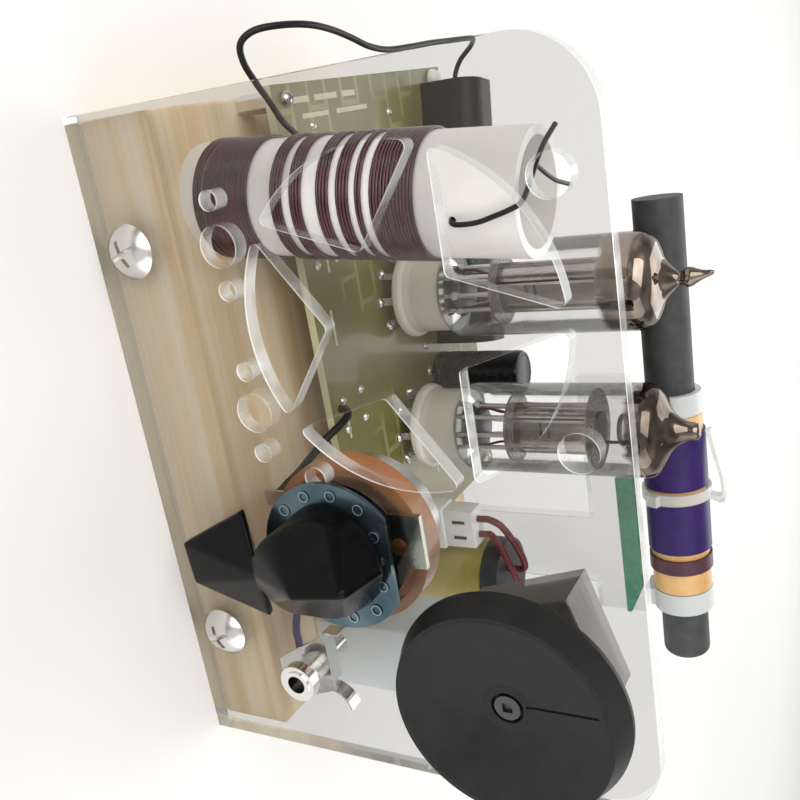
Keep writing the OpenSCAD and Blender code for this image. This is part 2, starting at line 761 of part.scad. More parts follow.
module circuit_board() {
    color("darkolivegreen") difference() {
        translate([pcb_x, pcb_y, pcb_z]) cube([pcb_w, pcb_depth, pcb_t]);
        for (c = pcb_corners) {
            translate([c[0], c[1], pcb_z - cut])
                cylinder(h = pcb_t + 2 * cut, r = small_shank_d / 2 + thread_gap);
        }
        lead_hole(battery_lead_route[len(battery_lead_route) - 1], battery_lead_d);
        lead_hole(hook_up_route[0], hook_wire_d);
        coil_frame() cylinder(h = 2 * former_r, r = turn_r + coil_wire_d / 2 + notch_gap);
    }
}

module lead_hole(end, d) {
    translate([end[0], end[1], pcb_z - cut]) cylinder(h = pcb_t + 2 * cut, r = d / 2 + lead_gap, $fn = 32);
}

module board_standoffs() {
    color("silver") for (c = pcb_corners) {
        translate([c[0], c[1], board_t]) difference() {
            union() {
                cylinder(h = standoff_h, r = standoff_af / 2 / cos(30), $fn = 6);
                translate([0, 0, -stud_l]) cylinder(h = stud_l + cut, r = stud_d / 2);
            }
            translate([0, 0, standoff_h - standoff_hole_depth])
                cylinder(h = standoff_hole_depth + cut, r = small_shank_d / 2);
        }
    }
}

module bracket_screw_places() {
    for (x = [bracket_screw_inset, bracket_leg_w - bracket_screw_inset]) {
        translate([bracket_x + x, bracket_y + bracket_foot_l - bracket_screw_inset, board_t]) children();
    }
}

module board_screws() {
    color("lightgray") for (c = pcb_corners) {
        translate([c[0], c[1], pcb_top])
            screw(small_head_d / 2, small_head_h, small_shank_d / 2, small_shank_l);
    }
}

module bracket_screws() {
    color("lightgray") bracket_screw_places() translate([0, 0, bracket_t])
        screw(bracket_head_d / 2, bracket_head_t, bracket_shank_d / 2, bracket_shank_l);
}

module tube_sockets() {
    color("whitesmoke") for (i = [0, 1]) {
        tube_frame(i) difference() {
            union() {
                translate([0, 0, socket_z]) cylinder(h = socket_h, r = socket_d / 2);
                translate([0, 0, pcb_top]) cylinder(h = socket_lift + cut, r = 2.6);
            }
            translate([0, 0, socket_z + socket_h - 4]) cylinder(h = 4 + cut, r = 2);
            for (a = pin_angles) {
                rotate([0, 0, a]) translate([pin_circle_d / 2, 0, socket_z - cut])
                    cylinder(h = socket_h + 2 * cut, r = pin_d / 2 + pin_clearance, $fn = 24);
                rotate([0, 0, a]) translate([contact_r, -contact_w / 2, socket_z - cut])
                    cube([contact_t, contact_w, socket_h - 2]);
            }
        }
    }
}

module socket_contacts() {
    color("gainsboro") for (i = [0, 1], a = pin_angles) {
        tube_frame(i) rotate([0, 0, a]) translate([contact_r, -contact_w / 2, pcb_top]) {
            cube([contact_t, contact_w, socket_lift + socket_h - 3]);
            cube([2.4, contact_w, contact_t]);
        }
    }
}

// Outline of the glass, with a flat dome and a drop-shaped seal on a narrow neck
function glass_profile(r, h, tip_h) =
    let (shoulder = h - dome_h, neck = 1.3 * tip_r)
    concat([[0, 0], [r - 1.6, 0], [r - 0.5, 0.5], [r, 1.6], [r, shoulder]],
        [for (i = [1 : 7]) [neck + (r - neck) * cos(i * 12), shoulder + dome_h * sin(i * 12)]],
        [[tip_r, h + 0.5], [0.7 * tip_r, h + 0.16 * tip_h], [0.74 * tip_r, h + 0.28 * tip_h],
         [0.84 * tip_r, h + 0.4 * tip_h], [0.62 * tip_r, h + 0.56 * tip_h], [0.36 * tip_r, h + 0.74 * tip_h],
         [0.22 * tip_r, h + 0.92 * tip_h], [0.1 * tip_r, h + tip_h], [0, h + tip_h]]);

function hollow_profile(r, h) =
    let (shoulder = h + glass_wall - dome_h)
    concat([[0, button_t], [r - 1, button_t], [r, button_t + 1], [r, shoulder]],
        [for (k = [1 : 6]) [r * cos(k * 14), shoulder + (h - shoulder) * sin(k * 14)]], [[0, h]]);

module tube_glass(i, tip_h) {
    color("lightgray", 0.3) tube_frame(i) translate([0, 0, glass_z]) difference() {
        rotate_extrude() polygon(glass_profile(glass_r, glass_h, tip_h));
        rotate_extrude() polygon(hollow_profile(glass_r - glass_wall, glass_h - glass_wall));
        for (a = pin_angles) {
            rotate([0, 0, a]) translate([pin_circle_d / 2, 0, -cut])
                cylinder(h = button_t + 2 * cut, r = pin_d / 2, $fn = 24);
        }
    }
}

module tube_pins(i) {
    color("silver") tube_frame(i) for (a = pin_angles) {
        rotate([0, 0, a]) translate([pin_circle_d / 2, 0, glass_z - pin_l])
            cylinder(h = pin_l + lower_mica_z, r = pin_d / 2, $fn = 24);
    }
}

function upper_mica_z(i) = plates_z + plate_heights[i];

module tube_micas(i) {
    color("wheat", 0.7) tube_frame(i) translate([0, 0, glass_z]) {
        translate([0, 0, lower_mica_z]) cylinder(h = mica_t, r = lower_mica_r);
        translate([0, 0, upper_mica_z(i)]) cylinder(h = mica_t, r = upper_mica_r[i]);
    }
}

module anode_outline(w, r) {
    square([w, 2 * r], center = true);
    for (s = [-1, 1]) {
        translate([s * w / 2, 0]) circle(r = r);
    }
}

module tube_plates(i) {
    h = plate_heights[i];
    color("dimgray") tube_frame(i) translate([0, 0, glass_z + plates_z]) {
        linear_extrude(h) difference() {
            anode_outline(anode_w, anode_r);
            anode_outline(anode_w, anode_r - anode_t);
        }
        for (s = [-1, 1]) {
            translate([s * (anode_w / 2 + anode_r) - wing_t / 2, -wing_w / 2, 0]) cube([wing_t, wing_w, h]);
            translate([s * 1.6, 0, 0]) cylinder(h = h, r = support_d / 2, $fn = 24);
        }
        cylinder(h = h, r = 0.7, $fn = 24);
    }
}

module tube_getter(i) {
    color("gray") tube_frame(i) translate([0, 0, glass_z + upper_mica_z(i) + mica_t]) {
        translate([0, 0, getter_lift]) rotate_extrude() translate([getter_r, 0]) circle(r = 0.5, $fn = 24);
        translate([getter_r, 0, 0]) cylinder(h = getter_lift, r = 0.35, $fn = 24);
    }
}

module tuning_dial() {
    slope = atan2(dial_t - hub_z, dial_front_r - dial_rim_w - hub_r);
    color("#3c3a3c") front_frame(tuning_x, tuning_z) translate([0, 0, dial_gap]) difference() {
        rotate_extrude() polygon([
            [fixed_bore_r, -dial_boss_h], [dial_boss_r, -dial_boss_h], [dial_boss_r, 0], [dial_r, 0],
            [dial_r, dial_edge_h], [dial_front_r, dial_t], [dial_front_r - dial_rim_w, dial_t], [hub_r, hub_z],
            [hub_recess_r, hub_z], [hub_recess_r, hub_floor_z], [dial_screw_r, hub_floor_z],
            [dial_screw_r, hub_floor_z - shaft_web], [fixed_bore_r, hub_floor_z - shaft_web]
        ]);
        rotate([0, 0, line_turn]) {
            translate([-line_w / 2, line_start_r, hub_z - line_depth])
                cube([line_w, hub_r - line_start_r + 0.5, 1]);
            translate([0, hub_r, hub_z]) rotate([slope, 0, 0]) translate([-line_w / 2, 0, -line_depth])
                cube([line_w, line_end_r - hub_r, 1]);
        }
    }
}

module dial_screw() {
    color("silver") front_frame(tuning_x, tuning_z) translate([0, 0, dial_gap + hub_floor_z]) difference() {
        union() {
            cylinder(h = hub_z - hub_floor_z, r = dial_screw_head_r);
            translate([0, 0, -dial_screw_l]) cylinder(h = dial_screw_l + cut, r = dial_screw_r);
        }
        translate([-0.8, -0.8, 0.4]) cube([1.6, 1.6, 2]);
    }
}

module case_frame() front_frame(tuning_x, tuning_z)
    rotate([0, 0, case_turn]) translate([0, 0, -panel_t]) children();

module capacitor_case() {
    inner = case_w - 2 * case_wall;
    color("lightsteelblue") case_frame() difference() {
        translate([-case_w / 2, -case_w / 2, -case_t]) cube([case_w, case_w, case_t]);
        translate([-inner / 2, -inner / 2, case_wall - case_t]) cube([inner, inner, case_t - 2 * case_wall]);
        translate([0, 0, -2 * case_wall]) cylinder(h = 2 * case_wall + cut, r = bore_r);
    }
}

function plate_level(k) = -case_wall - first_plate - k * plate_pitch / 2 - plate_t;

module capacitor_stator() {
    inner = case_w / 2 - case_wall;
    post = 0.9;
    color("silver") case_frame() {
        for (k = [0 : stator_plates - 1]) {
            translate([0, 0, plate_level(2 * k)]) difference() {
                translate([-inner, -inner, 0]) cube([inner - 1, 2 * inner, plate_t]);
                translate([0, 0, -cut]) cylinder(h = plate_t + 2 * cut, r = shaft_r + 1);
            }
        }
        for (s = [-1, 1]) {
            translate([-inner + post, s * (inner - post), case_wall - case_t])
                cylinder(h = case_t - 2 * case_wall, r = post, $fn = 24);
        }
    }
}

module capacitor_rotor() {
    color("goldenrod") front_frame(tuning_x, tuning_z) {
        difference() {
            translate([0, 0, plate_level(2 * rotor_plates) - panel_t])
                cylinder(h = dial_gap + hub_floor_z - shaft_web + panel_t - plate_level(2 * rotor_plates),
                    r = shaft_r);
            translate([0, 0, dial_gap + hub_floor_z - dial_screw_l])
                cylinder(h = dial_screw_l, r = dial_screw_r);
        }
        rotate([0, 0, case_turn]) for (k = [0 : rotor_plates - 1]) {
            translate([0, 0, plate_level(2 * k + 1) - panel_t]) intersection() {
                cylinder(h = plate_t, r = rotor_r);
                translate([-rotor_r, -rotor_r, -cut]) cube([2 * rotor_r, rotor_r, plate_t + 2 * cut]);
            }
        }
    }
}

module control_bush() {
    color("gainsboro") front_frame(control_x, control_z) difference() {
        union() {
            translate([0, 0, -disc_depth]) cylinder(h = disc_depth + bush_out, r = bush_r);
            translate([0, 0, -disc_depth]) cylinder(h = bush_plate_t, r = bush_plate_r);
            translate([tab_x, 0, -panel_t - tab_t]) cube([tab_w, tab_h, tab_t]);
        }
        translate([0, 0, -disc_depth - cut]) cylinder(h = disc_depth + bush_out + 2 * cut, r = bore_r);
        translate([tab_hole_x, tab_hole_h, -disc_depth - cut])
            cylinder(h = bush_plate_t + 2 * cut, r = tab_hole_r);
    }
}

module control_disc() {
    rim_w = 1.8;
    rim_h = 1.2;
    color("sienna") front_frame(control_x, control_z) {
        translate([0, 0, -disc_back]) ring(track_disc_r, shaft_r + 0.4, track_disc_t);
        translate([0, 0, -disc_depth]) ring(track_disc_r, track_disc_r - rim_w, rim_h);
    }
}

module control_lugs() {
    color("silver") front_frame(control_x, control_z) for (x = lug_x) {
        translate([x - lug_w / 2, lug_lap - track_disc_r - lug_l, -disc_back - lug_t]) difference() {
            cube([lug_w, lug_l, lug_t]);
            translate([lug_w / 2, 3.6, -cut]) cylinder(h = lug_t + 2 * cut, r = 0.5, $fn = 24);
        }
    }
}

module control_cover() {
    color("silver") front_frame(control_x, control_z) difference() {
        translate([0, 0, -disc_back - cover_t]) cylinder(h = cover_t, r = cover_r);
        translate([0, 0, cover_wall - disc_back - cover_t]) cylinder(h = cover_t, r = cover_r - cover_wall);
    }
}

module control_shaft() {
    color("silver") front_frame(control_x, control_z) {
        translate([0, 0, -shaft_back]) cylinder(h = shaft_back + knob_shaft_top, r = shaft_r);
        translate([0, 0, -shaft_back]) cylinder(h = 2, r = 5.5);
        translate([-1.5, 0, -shaft_back]) cube([3, wiper_reach, 0.8]);
        translate([0, wiper_reach - 1, -shaft_back])
            cylinder(h = shaft_back - disc_back - wiper_gap, r = 1, $fn = 24);
    }
}

module control_nut() {
    color("silver") front_frame(control_x, control_z) translate([0, 0, scale_t]) difference() {
        cylinder(h = nut_t, r = nut_r, $fn = 6);
        translate([0, 0, -cut]) cylinder(h = nut_t + 2 * cut, r = bush_r);
    }
}

module scale_plate() {
    color("cadetblue") front_frame(control_x, control_z) difference() {
        union() {
            cylinder(h = scale_t, r = scale_r);
            for (i = [0 : mark_count - 1]) {
                a = 270 * i / (mark_count - 1) - 135;
                r = min(knob_r + mark_r + 0.5, mark_top / max(cos(a), 0.1));
                rotate([0, 0, a]) translate([0, r, 0]) ring(mark_r, mark_r - 0.45, scale_t + mark_lift);
            }
            for (x = lip_x) {
                translate([x, scale_flat_h - 1, 0]) cube([lip_w, 1, scale_t + mark_lift]);
            }
        }
        translate([-scale_r, scale_flat_h, -cut]) cube([2 * scale_r, scale_r, 2 * scale_t + 2 * cut]);
        translate([0, 0, -cut]) cylinder(h = scale_t + 2 * cut, r = bush_r + thread_gap);
    }
}

module knob_corner(x, y, z) translate([x, y, z]) sphere(r = knob_edge, $fn = 16);

module knob_grip() {
    e = knob_edge;
    hull() {
        translate([0, 0, knob_foot]) cylinder(h = grip_edge_h, r1 = knob_r, r2 = knob_r - grip_taper, $fn = 48);
        translate([0, -grip_end_y, knob_foot]) cylinder(h = grip_end_h, r = grip_end_r, $fn = 32);
        knob_corner(0, knob_r + 1.2, knob_foot + 2.6);
        knob_corner(0, knob_r - e, knob_h - e - 0.9);
        knob_corner(0, 0, knob_h - e);
        knob_corner(0, -1.2 * knob_r, pointer_ridge_z - e - 0.6);
    }
}

module knob_pointer() {
    e = knob_edge;
    hull() {
        for (s = [-1, 1]) {
            knob_corner(s * (flare_w / 2 - e), flare_y, pointer_lift + e);
            knob_corner(s * (pointer_tip_w / 2 - e), e - pointer_l, pointer_lift + e);
            knob_corner(s * (pointer_tip_w / 2 - e), e - pointer_l, pointer_lift + e + 0.6);
        }
        knob_corner(0, -knob_r - e, pointer_ridge_z - e);
    }
}

module pointer_knob() {
    color("#101012") front_frame(control_x, control_z) rotate([0, 0, pointer_turn]) difference() {
        union() {
            knob_grip();
            knob_pointer();
        }
        translate([0, 0, -cut]) cylinder(h = recess_top + cut, r = nut_r + 1.2);
        cylinder(h = knob_shaft_top, r = fixed_bore_r);
        translate([0, 0, knob_screw_z]) rotate([-90, 0, 0]) cylinder(h = 2 * knob_r, r = knob_screw_r);
    }
}

module knob_screw() {
    color("dimgray") front_frame(control_x, control_z) rotate([0, 0, pointer_turn])
        translate([0, shaft_r, knob_screw_z]) rotate([-90, 0, 0]) cylinder(h = knob_screw_l, r = knob_screw_r);
}

module jack_frame() {
    color("gainsboro") front_frame(jack_x, jack_z) difference() {
        union() {
            translate([0, 0, -panel_t - jack_plate_t]) linear_extrude(jack_plate_t) polygon(jack_plate);
            translate([0, 0, -panel_t - jack_sleeve_l])
                cylinder(h = panel_t + jack_sleeve_l + jack_bush_out, r = jack_bush_d / 2);
        }
        translate([0, 0, -panel_t - jack_sleeve_l - cut])
            cylinder(h = panel_t + jack_sleeve_l + jack_bush_out + 2 * cut, r = jack_bore_d / 2);
    }
}

module jack_springs() {
    strip = 0.4;
    depth = 3;
    bend = concat(arc([9.4, 2], 5, 182, 100, 12), flat_reverse(arc([9.4, 2], 5 - strip, 182, 100, 12)));
    color("lightgray") front_frame(jack_x, jack_z) translate([0, 0, -panel_t - jack_plate_t - depth]) {
        translate([-7.8, 3.5, 0]) cube([10.8, strip, depth]);
        translate([-7.8, 3.5, 0]) cube([strip, 3.4, depth]);
        linear_extrude(depth) polygon(bend);
    }
}

function flat_reverse(p) = [for (i = [len(p) - 1 : -1 : 0]) p[i]];

module jack_nut() {
    color("silver") front_frame(jack_x, jack_z) ring(jack_nut_d / 2, jack_bush_d / 2, jack_nut_t);
}

module ferrite_rod() {
    round_r = 1.6;
    color("#46484a") rod_frame() rotate_extrude() polygon(concat([[0, 0], [rod_r, 0]],
        arc([rod_r - round_r, rod_l - round_r], round_r, 0, 90, 8), [[0, rod_l]]));
}

module rod_sleeve() {
    color("#d7a55f") rod_frame() translate([0, 0, sleeve_start]) ring(sleeve_r, rod_r + rod_fit, sleeve_l);
}

module rod_band(band) {
    rod_frame() translate([0, 0, sleeve_start + band[0]]) ring(sleeve_r + rod_winding_t, sleeve_r, band[1]);
}

module rod_windings() {
    color("#3a2266") for (b = coil_bands) {
        rod_band(b);
    }
}

module rod_link_winding() color("#4a1420") rod_band(link_band);

module rod_clamp(start, l, r) {
    foot_x = rod_x + start;
    color("#bec3c3") difference() {
        union() {
            rod_frame() translate([0, 0, start]) cylinder(h = l, r = r + clamp_t);
            translate([foot_x + 0.4, bracket_y, bracket_h]) cube([l - 0.8, bracket_t + 3, rod_z - bracket_h]);
        }
        rod_frame() translate([0, 0, start - cut - 0.5]) cylinder(h = l + 2 * cut + 1, r = r);
    }
}

module rod_clamps() {
    rod_clamp(sleeve_start - clamp_gap - left_clamp_l, left_clamp_l, rod_r + rod_fit);
    rod_clamp(sleeve_start + sleeve_l + clamp_gap, right_clamp_l, rod_r + rod_fit);
}

module rod_tie() {
    inner = sleeve_r + rod_winding_t + 0.1;
    outer = inner + tie_t;
    top = outer + tie_lift;
    color("#c4cccc") rod_frame() translate([0, 0, sleeve_start + tie_place]) {
        ring(outer, inner, tie_w);
        rotate([0, 0, -65]) translate([inner + 0.2, -1.3, 0]) cube([1.7, 2.6, tie_w]);
        translate([0, tie_w / 2, 0]) rotate([90, 0, 0]) linear_extrude(tie_w) polygon([
            [-inner, tie_w], [-top + 1.2, tie_w + 1], [-top + 0.2, tie_w + 0.6], [-top, tie_w - 1],
            [-top + 0.3, -2.4],
            [-outer - 0.6, -tie_tail], [-inner - 0.1, -tie_tail], [-top + 0.9, -2.2], [-top + 0.6, tie_w - 1.2],
            [-top + 1, tie_w - 0.4], [-inner, tie_w - 0.7]
        ]);
    }
}

module rod_bracket() {
    head_z = bracket_h - bracket_head_h;
    color("lightcyan", 0.35) difference() {
        union() {
            translate([bracket_x, bracket_y, board_t]) cube([bracket_leg_w, bracket_t, head_z - board_t + cut]);
            translate([bracket_head_x, bracket_y, head_z]) cube([bracket_head_w, bracket_t, bracket_head_h]);
            translate([bracket_x, bracket_y, board_t]) cube([bracket_leg_w, bracket_foot_l, bracket_t]);
        }
        bracket_screw_places() translate([0, 0, -cut])
            cylinder(h = bracket_t + 2 * cut, r = bracket_shank_d / 2 + thread_gap);
    }
}

module antenna_board() {
    color("seagreen") translate([strip_x, bracket_y, bracket_h]) rotate([90, 0, 0]) linear_extrude(strip_t)
        polygon([[0, 0], [strip_w - strip_taper, 0], [strip_w, 1 - strip_h], [strip_w, -strip_h], [0,
            -strip_h]]);
}

module box_outline(inset, z0, z1) {
    w = battery_box_w;
    r = box_corner_r;
    h = battery_box_h;
    e = inset;
    front = arc([w - r, h - r], r - e, 0, 90, 12);
    intersection() {
        polygon(concat([[e, e], [w - e, e]], front, arc([r, h - r], r - e, 90, 180, 12)));
        translate([-1, z0]) square([w + 2, z1 - z0]);
    }
}

module box_slice(z0, z1) box_frame() rotate([90, 0, 90]) linear_extrude(battery_box_l) box_outline(0, z0, z1);

module box_hollow() {
    w = battery_wall;
    box_frame() translate([w, 0, 0]) rotate([90, 0, 90]) linear_extrude(battery_box_l - 2 * w)
        box_outline(w, 0, battery_box_h);
}

module battery_box() {
    color("#161616") difference() {
        box_slice(0, battery_box_h - lid_h);
        box_hollow();
        box_frame() translate([-cut, lead_hole_y, box_lead_z]) rotate([0, 90, 0])
            cylinder(h = battery_wall + 2 * cut, r = battery_lead_d / 2 + lead_gap, $fn = 32);
    }
}

module battery_lid() {
    color("#1c1c1c") difference() {
        box_slice(battery_box_h - lid_h, battery_box_h);
        box_hollow();
    }
}

module battery_cell() {
    nub_l = 1;
    color("steelblue") box_frame()
        translate([(battery_box_l - cell_l) / 2, battery_box_w / 2, battery_wall + cell_d / 2])
        rotate([0, 90, 0]) {
            cylinder(h = cell_l - nub_l, r = cell_d / 2);
            cylinder(h = cell_l, r = cell_d / 5);
        }
}

module battery_lead() color("#141414") route_frame() wire_tube(smooth(battery_lead_route, 2),
    battery_lead_d / 2, 8);

module filter_capacitor() {
    color("#151515") at_depth(filter_x, filter_depth, pcb_top) {
        cylinder(h = filter_h, r = filter_d / 2);
    }
}

module step_up_core() {
    color("#3a3c40") at_depth(step_up_x, step_up_depth, board_t) {
        cylinder(h = flange_t, r = step_up_d / 2);
        cylinder(h = step_up_h, r = step_up_d / 4);
        translate([0, 0, step_up_h - flange_t]) cylinder(h = flange_t, r = step_up_d / 2);
    }
}

module step_up_coil() {
    color("#c8a832") at_depth(step_up_x, step_up_depth, board_t + flange_t)
        ring(step_up_d / 2 - 0.2, step_up_d / 4, step_up_h - 2 * flange_t);
}

module step_up_leads() {
    color("#5a1418") route_frame() {
        wire_tube(smooth(step_up_route_1, 2), hook_wire_d / 2, 8);
        wire_tube(smooth(step_up_route_2, 2), hook_wire_d / 2, 8);
    }
}

module output_transformer() {
    groove = 0.8;
    color("#d4dada") at_depth(transformer_x, transformer_depth, board_t) difference() {
        cube([transformer_w, transformer_t, transformer_h]);
        translate([-cut, -cut, 3]) cube([transformer_w + 2 * cut, cut + 0.4, groove]);
    }
}

module plug_connector() {
    slot = 0.8;
    color("whitesmoke") at_depth(connector_x, connector_depth, pcb_top) difference() {
        union() {
            cube([connector_w, connector_t, header_h]);
            translate([plug_step, plug_step, header_h])
                cube([connector_w - 2 * plug_step, connector_t - 2 * plug_step, plug_h]);
        }
        for (x = [3.1, 6.7]) {
            translate([x - slot / 2, -cut, header_h + 2]) cube([slot, cut + plug_step + 0.8, 3]);
        }
    }
}

module resistors() {
    color("tan") for (d = resistor_depths) {
        at_depth(resistor_x, d, pcb_top) {
            translate([0, 0, resistor_r + 0.4]) rotate([0, 90, 0]) {
                cylinder(h = resistor_l, r = resistor_r, center = true);
                cylinder(h = resistor_l + 3, r = resistor_wire_r, center = true, $fn = 24);
            }
            for (s = [-1, 1]) {
                translate([s * (resistor_l + 3) / 2, 0, 0])
                    cylinder(h = resistor_r + 0.7, r = resistor_wire_r, $fn = 24);
            }
        }
    }
}

module hook_up_wires() {
    color("#181818") route_frame() wire_tube(smooth(hook_up_route, 2), hook_wire_d / 2, 8);
    color("#5a5a90") route_frame() wire_tube(smooth(jack_wire_route, 2), hook_wire_d / 2, 8);
}

base_board();
front_panel();
panel_screws();
coil_former();
tuning_winding();
reaction_winding();
coil_lead();
circuit_board();
board_standoffs();
board_screws();
tube_sockets();
socket_contacts();
tube_glass(0, left_tip_h);  // left_glass
tube_plates(0);  // left_plates
tube_micas(0);  // left_micas
tube_getter(0);  // left_getter
tube_pins(0);  // left_pins
tube_glass(1, right_tip_h);  // right_glass
tube_plates(1);  // right_plates
tube_micas(1);  // right_micas
tube_getter(1);  // right_getter
tube_pins(1);  // right_pins
tuning_dial();
dial_screw();
capacitor_case();
capacitor_stator();
capacitor_rotor();
control_bush();
control_disc();
control_lugs();
control_cover();
control_shaft();
control_nut();
scale_plate();
pointer_knob();
knob_screw();
jack_frame();
jack_springs();
jack_nut();
ferrite_rod();
rod_sleeve();
rod_windings();
rod_link_winding();
rod_clamps();
rod_tie();
rod_bracket();
bracket_screws();
antenna_board();
battery_box();
battery_lid();
battery_cell();
battery_lead();
filter_capacitor();
step_up_core();
step_up_coil();
step_up_leads();
output_transformer();
plug_connector();
resistors();
hook_up_wires();
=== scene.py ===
import bpy
import bmesh
import math
from mathutils import Matrix, Vector


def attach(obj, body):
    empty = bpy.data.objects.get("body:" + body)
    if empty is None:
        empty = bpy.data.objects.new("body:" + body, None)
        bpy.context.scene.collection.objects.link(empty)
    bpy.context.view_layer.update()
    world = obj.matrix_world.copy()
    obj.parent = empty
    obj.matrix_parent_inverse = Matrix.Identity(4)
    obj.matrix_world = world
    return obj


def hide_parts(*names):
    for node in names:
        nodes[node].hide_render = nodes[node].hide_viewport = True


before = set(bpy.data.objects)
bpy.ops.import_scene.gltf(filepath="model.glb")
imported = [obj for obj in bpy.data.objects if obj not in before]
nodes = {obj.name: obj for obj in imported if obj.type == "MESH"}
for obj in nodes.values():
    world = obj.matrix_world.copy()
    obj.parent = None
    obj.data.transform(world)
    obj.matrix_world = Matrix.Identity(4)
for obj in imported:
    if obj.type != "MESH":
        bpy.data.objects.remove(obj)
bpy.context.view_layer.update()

# Everything is in metres in the part's own frame. Depths count back from the panel's front face.
mm = 0.001
panelFront = -48.0


def at(x, depth, z):
    return Vector((x, panelFront + depth, z)) * mm


def cadPoint(p):
    return Vector(p) * mm


# Camera, fitted to the photograph
camera = {
    "place": (-0.0535751, -0.1646891, 0.1245595),
    "right": (0.159188, 0.461533, 0.872724),
    "up": (-0.940605, 0.339412, -0.007926),
    "back": (-0.299871, -0.819626, 0.488150),
    "lens": 42.04, "sensor": 36, "near": 0.005, "far": 10,
}
cameraData = bpy.data.cameras.new("photoCamera")
cameraData.lens = camera["lens"]
cameraData.sensor_width = camera["sensor"]
cameraData.clip_start, cameraData.clip_end = camera["near"], camera["far"]
cameraObject = bpy.data.objects.new("photoCamera", cameraData)
bpy.context.scene.collection.objects.link(cameraObject)
axes = Matrix([camera["right"], camera["up"], camera["back"]]).transposed().to_4x4()
cameraObject.matrix_world = Matrix.Translation(camera["place"]) @ axes
bpy.context.scene.camera = cameraObject
print("camera ready")


# Node helpers. They take and give back sockets, and a plain value is set on the socket itself.
def feed(tree, source, target):
    if isinstance(source, bpy.types.NodeSocket):
        tree.links.new(source, target)
    elif isinstance(source, tuple) and target.type == "RGBA":
        target.default_value = (*source, 1)
    else:
        target.default_value = source


def node(tree, kind, **settings):
    n = tree.nodes.new(kind)
    for key, value in settings.items():
        if key in n.inputs:
            feed(tree, value, n.inputs[key])
        else:
            setattr(n, key, value)
    return n


def objectPlace(tree, scale=None):
    coords = node(tree, "ShaderNodeTexCoord").outputs["Object"]
    if scale is None:
        return coords
    return node(tree, "ShaderNodeMapping", Vector=coords, Scale=scale).outputs[0]


def axisValues(tree, vector):
    return node(tree, "ShaderNodeSeparateXYZ", Vector=vector).outputs


def noise(tree, vector, scale, detail=4, rough=0.55, distortion=0.0):
    n = node(tree, "ShaderNodeTexNoise", Vector=vector, Scale=scale, Detail=detail, Roughness=rough,
             Distortion=distortion)
    return n.outputs["Fac"]


def ramp(tree, value, stops):
    r = node(tree, "ShaderNodeValToRGB", Fac=value)
    while len(r.color_ramp.elements) < len(stops):
        r.color_ramp.elements.new(0.5)
    for element, (spot, color) in zip(r.color_ramp.elements, stops):
        element.position = spot
        element.color = (*color, 1)
    return r.outputs["Color"]


rangeInputs = {"low": "From Min", "high": "From Max", "least": "To Min", "most": "To Max"}


def mapped(tree, value, **limits):
    m = node(tree, "ShaderNodeMapRange", Value=value)
    for key, limit in limits.items():
        feed(tree, limit, m.inputs[rangeInputs[key]])
    return m.outputs[0]


def mathNode(tree, kind, a, b=0.0):
    m = node(tree, "ShaderNodeMath", operation=kind)
    feed(tree, a, m.inputs[0])
    feed(tree, b, m.inputs[1])
    return m.outputs[0]


def added(tree, *values):
    made = values[0]
    for value in values[1:]:
        made = mathNode(tree, "ADD", made, value)
    return made


def product(tree, *values):
    made = values[0]
    for value in values[1:]:
        made = mathNode(tree, "MULTIPLY", made, value)
    return made


def mixColors(tree, fac, a, b, blend="MIX"):
    m = node(tree, "ShaderNodeMix", data_type="RGBA", blend_type=blend)
    for index, value in ((0, fac), (6, a), (7, b)):
        feed(tree, value, m.inputs[index])
    return m.outputs[2]


def bump(tree, height, strength, distance):
    return node(tree, "ShaderNodeBump", Height=height, Strength=strength, Distance=distance).outputs["Normal"]


# Node groups for what several materials share
def newGroup(name, inputs, outputs):
    tree = bpy.data.node_groups.new(name, "ShaderNodeTree")
    for label, (kind, value) in inputs.items():
        socket = tree.interface.new_socket(name=label, in_out="INPUT", socket_type="NodeSocket" + kind)
        socket.default_value = value
    for label, kind in outputs.items():
        tree.interface.new_socket(name=label, in_out="OUTPUT", socket_type="NodeSocket" + kind)
    return tree, tree.nodes.new("NodeGroupInput").outputs, tree.nodes.new("NodeGroupOutput").inputs


def useGroup(tree, group, **values):
    n = node(tree, "ShaderNodeGroup", node_tree=group)
    for label, value in values.items():
        feed(tree, value, n.inputs[label])
    return n.outputs


def patchesGroup():
    tree, given, out = newGroup("patches", {
        "Scale": ("Float", 100.0), "Detail": ("Float", 4.0), "Low": ("Float", 0.3), "High": ("Float", 0.7),
        "Dark": ("Color", (0, 0, 0, 1)), "Light": ("Color", (1, 1, 1, 1))}, {"Color": "Color"})
    spread = mapped(tree, noise(tree, objectPlace(tree), given["Scale"], given["Detail"]), low=given["Low"],
                    high=given["High"])
    feed(tree, mixColors(tree, spread, given["Dark"], given["Light"]), out["Color"])
    return tree


def grainGroup():
    tree, given, out = newGroup("grain", {
        "Scale": ("Float", 600.0), "Detail": ("Float", 3.0), "Smooth": ("Float", 0.4), "Dull": ("Float", 0.6),
        "Strength": ("Float", 0.05)}, {"Roughness": "Float", "Normal": "Vector"})
    fine = noise(tree, objectPlace(tree), given["Scale"], given["Detail"])
    feed(tree, mapped(tree, fine, least=given["Smooth"], most=given["Dull"]), out["Roughness"])
    feed(tree, bump(tree, fine, given["Strength"], 0.0002), out["Normal"])
    return tree


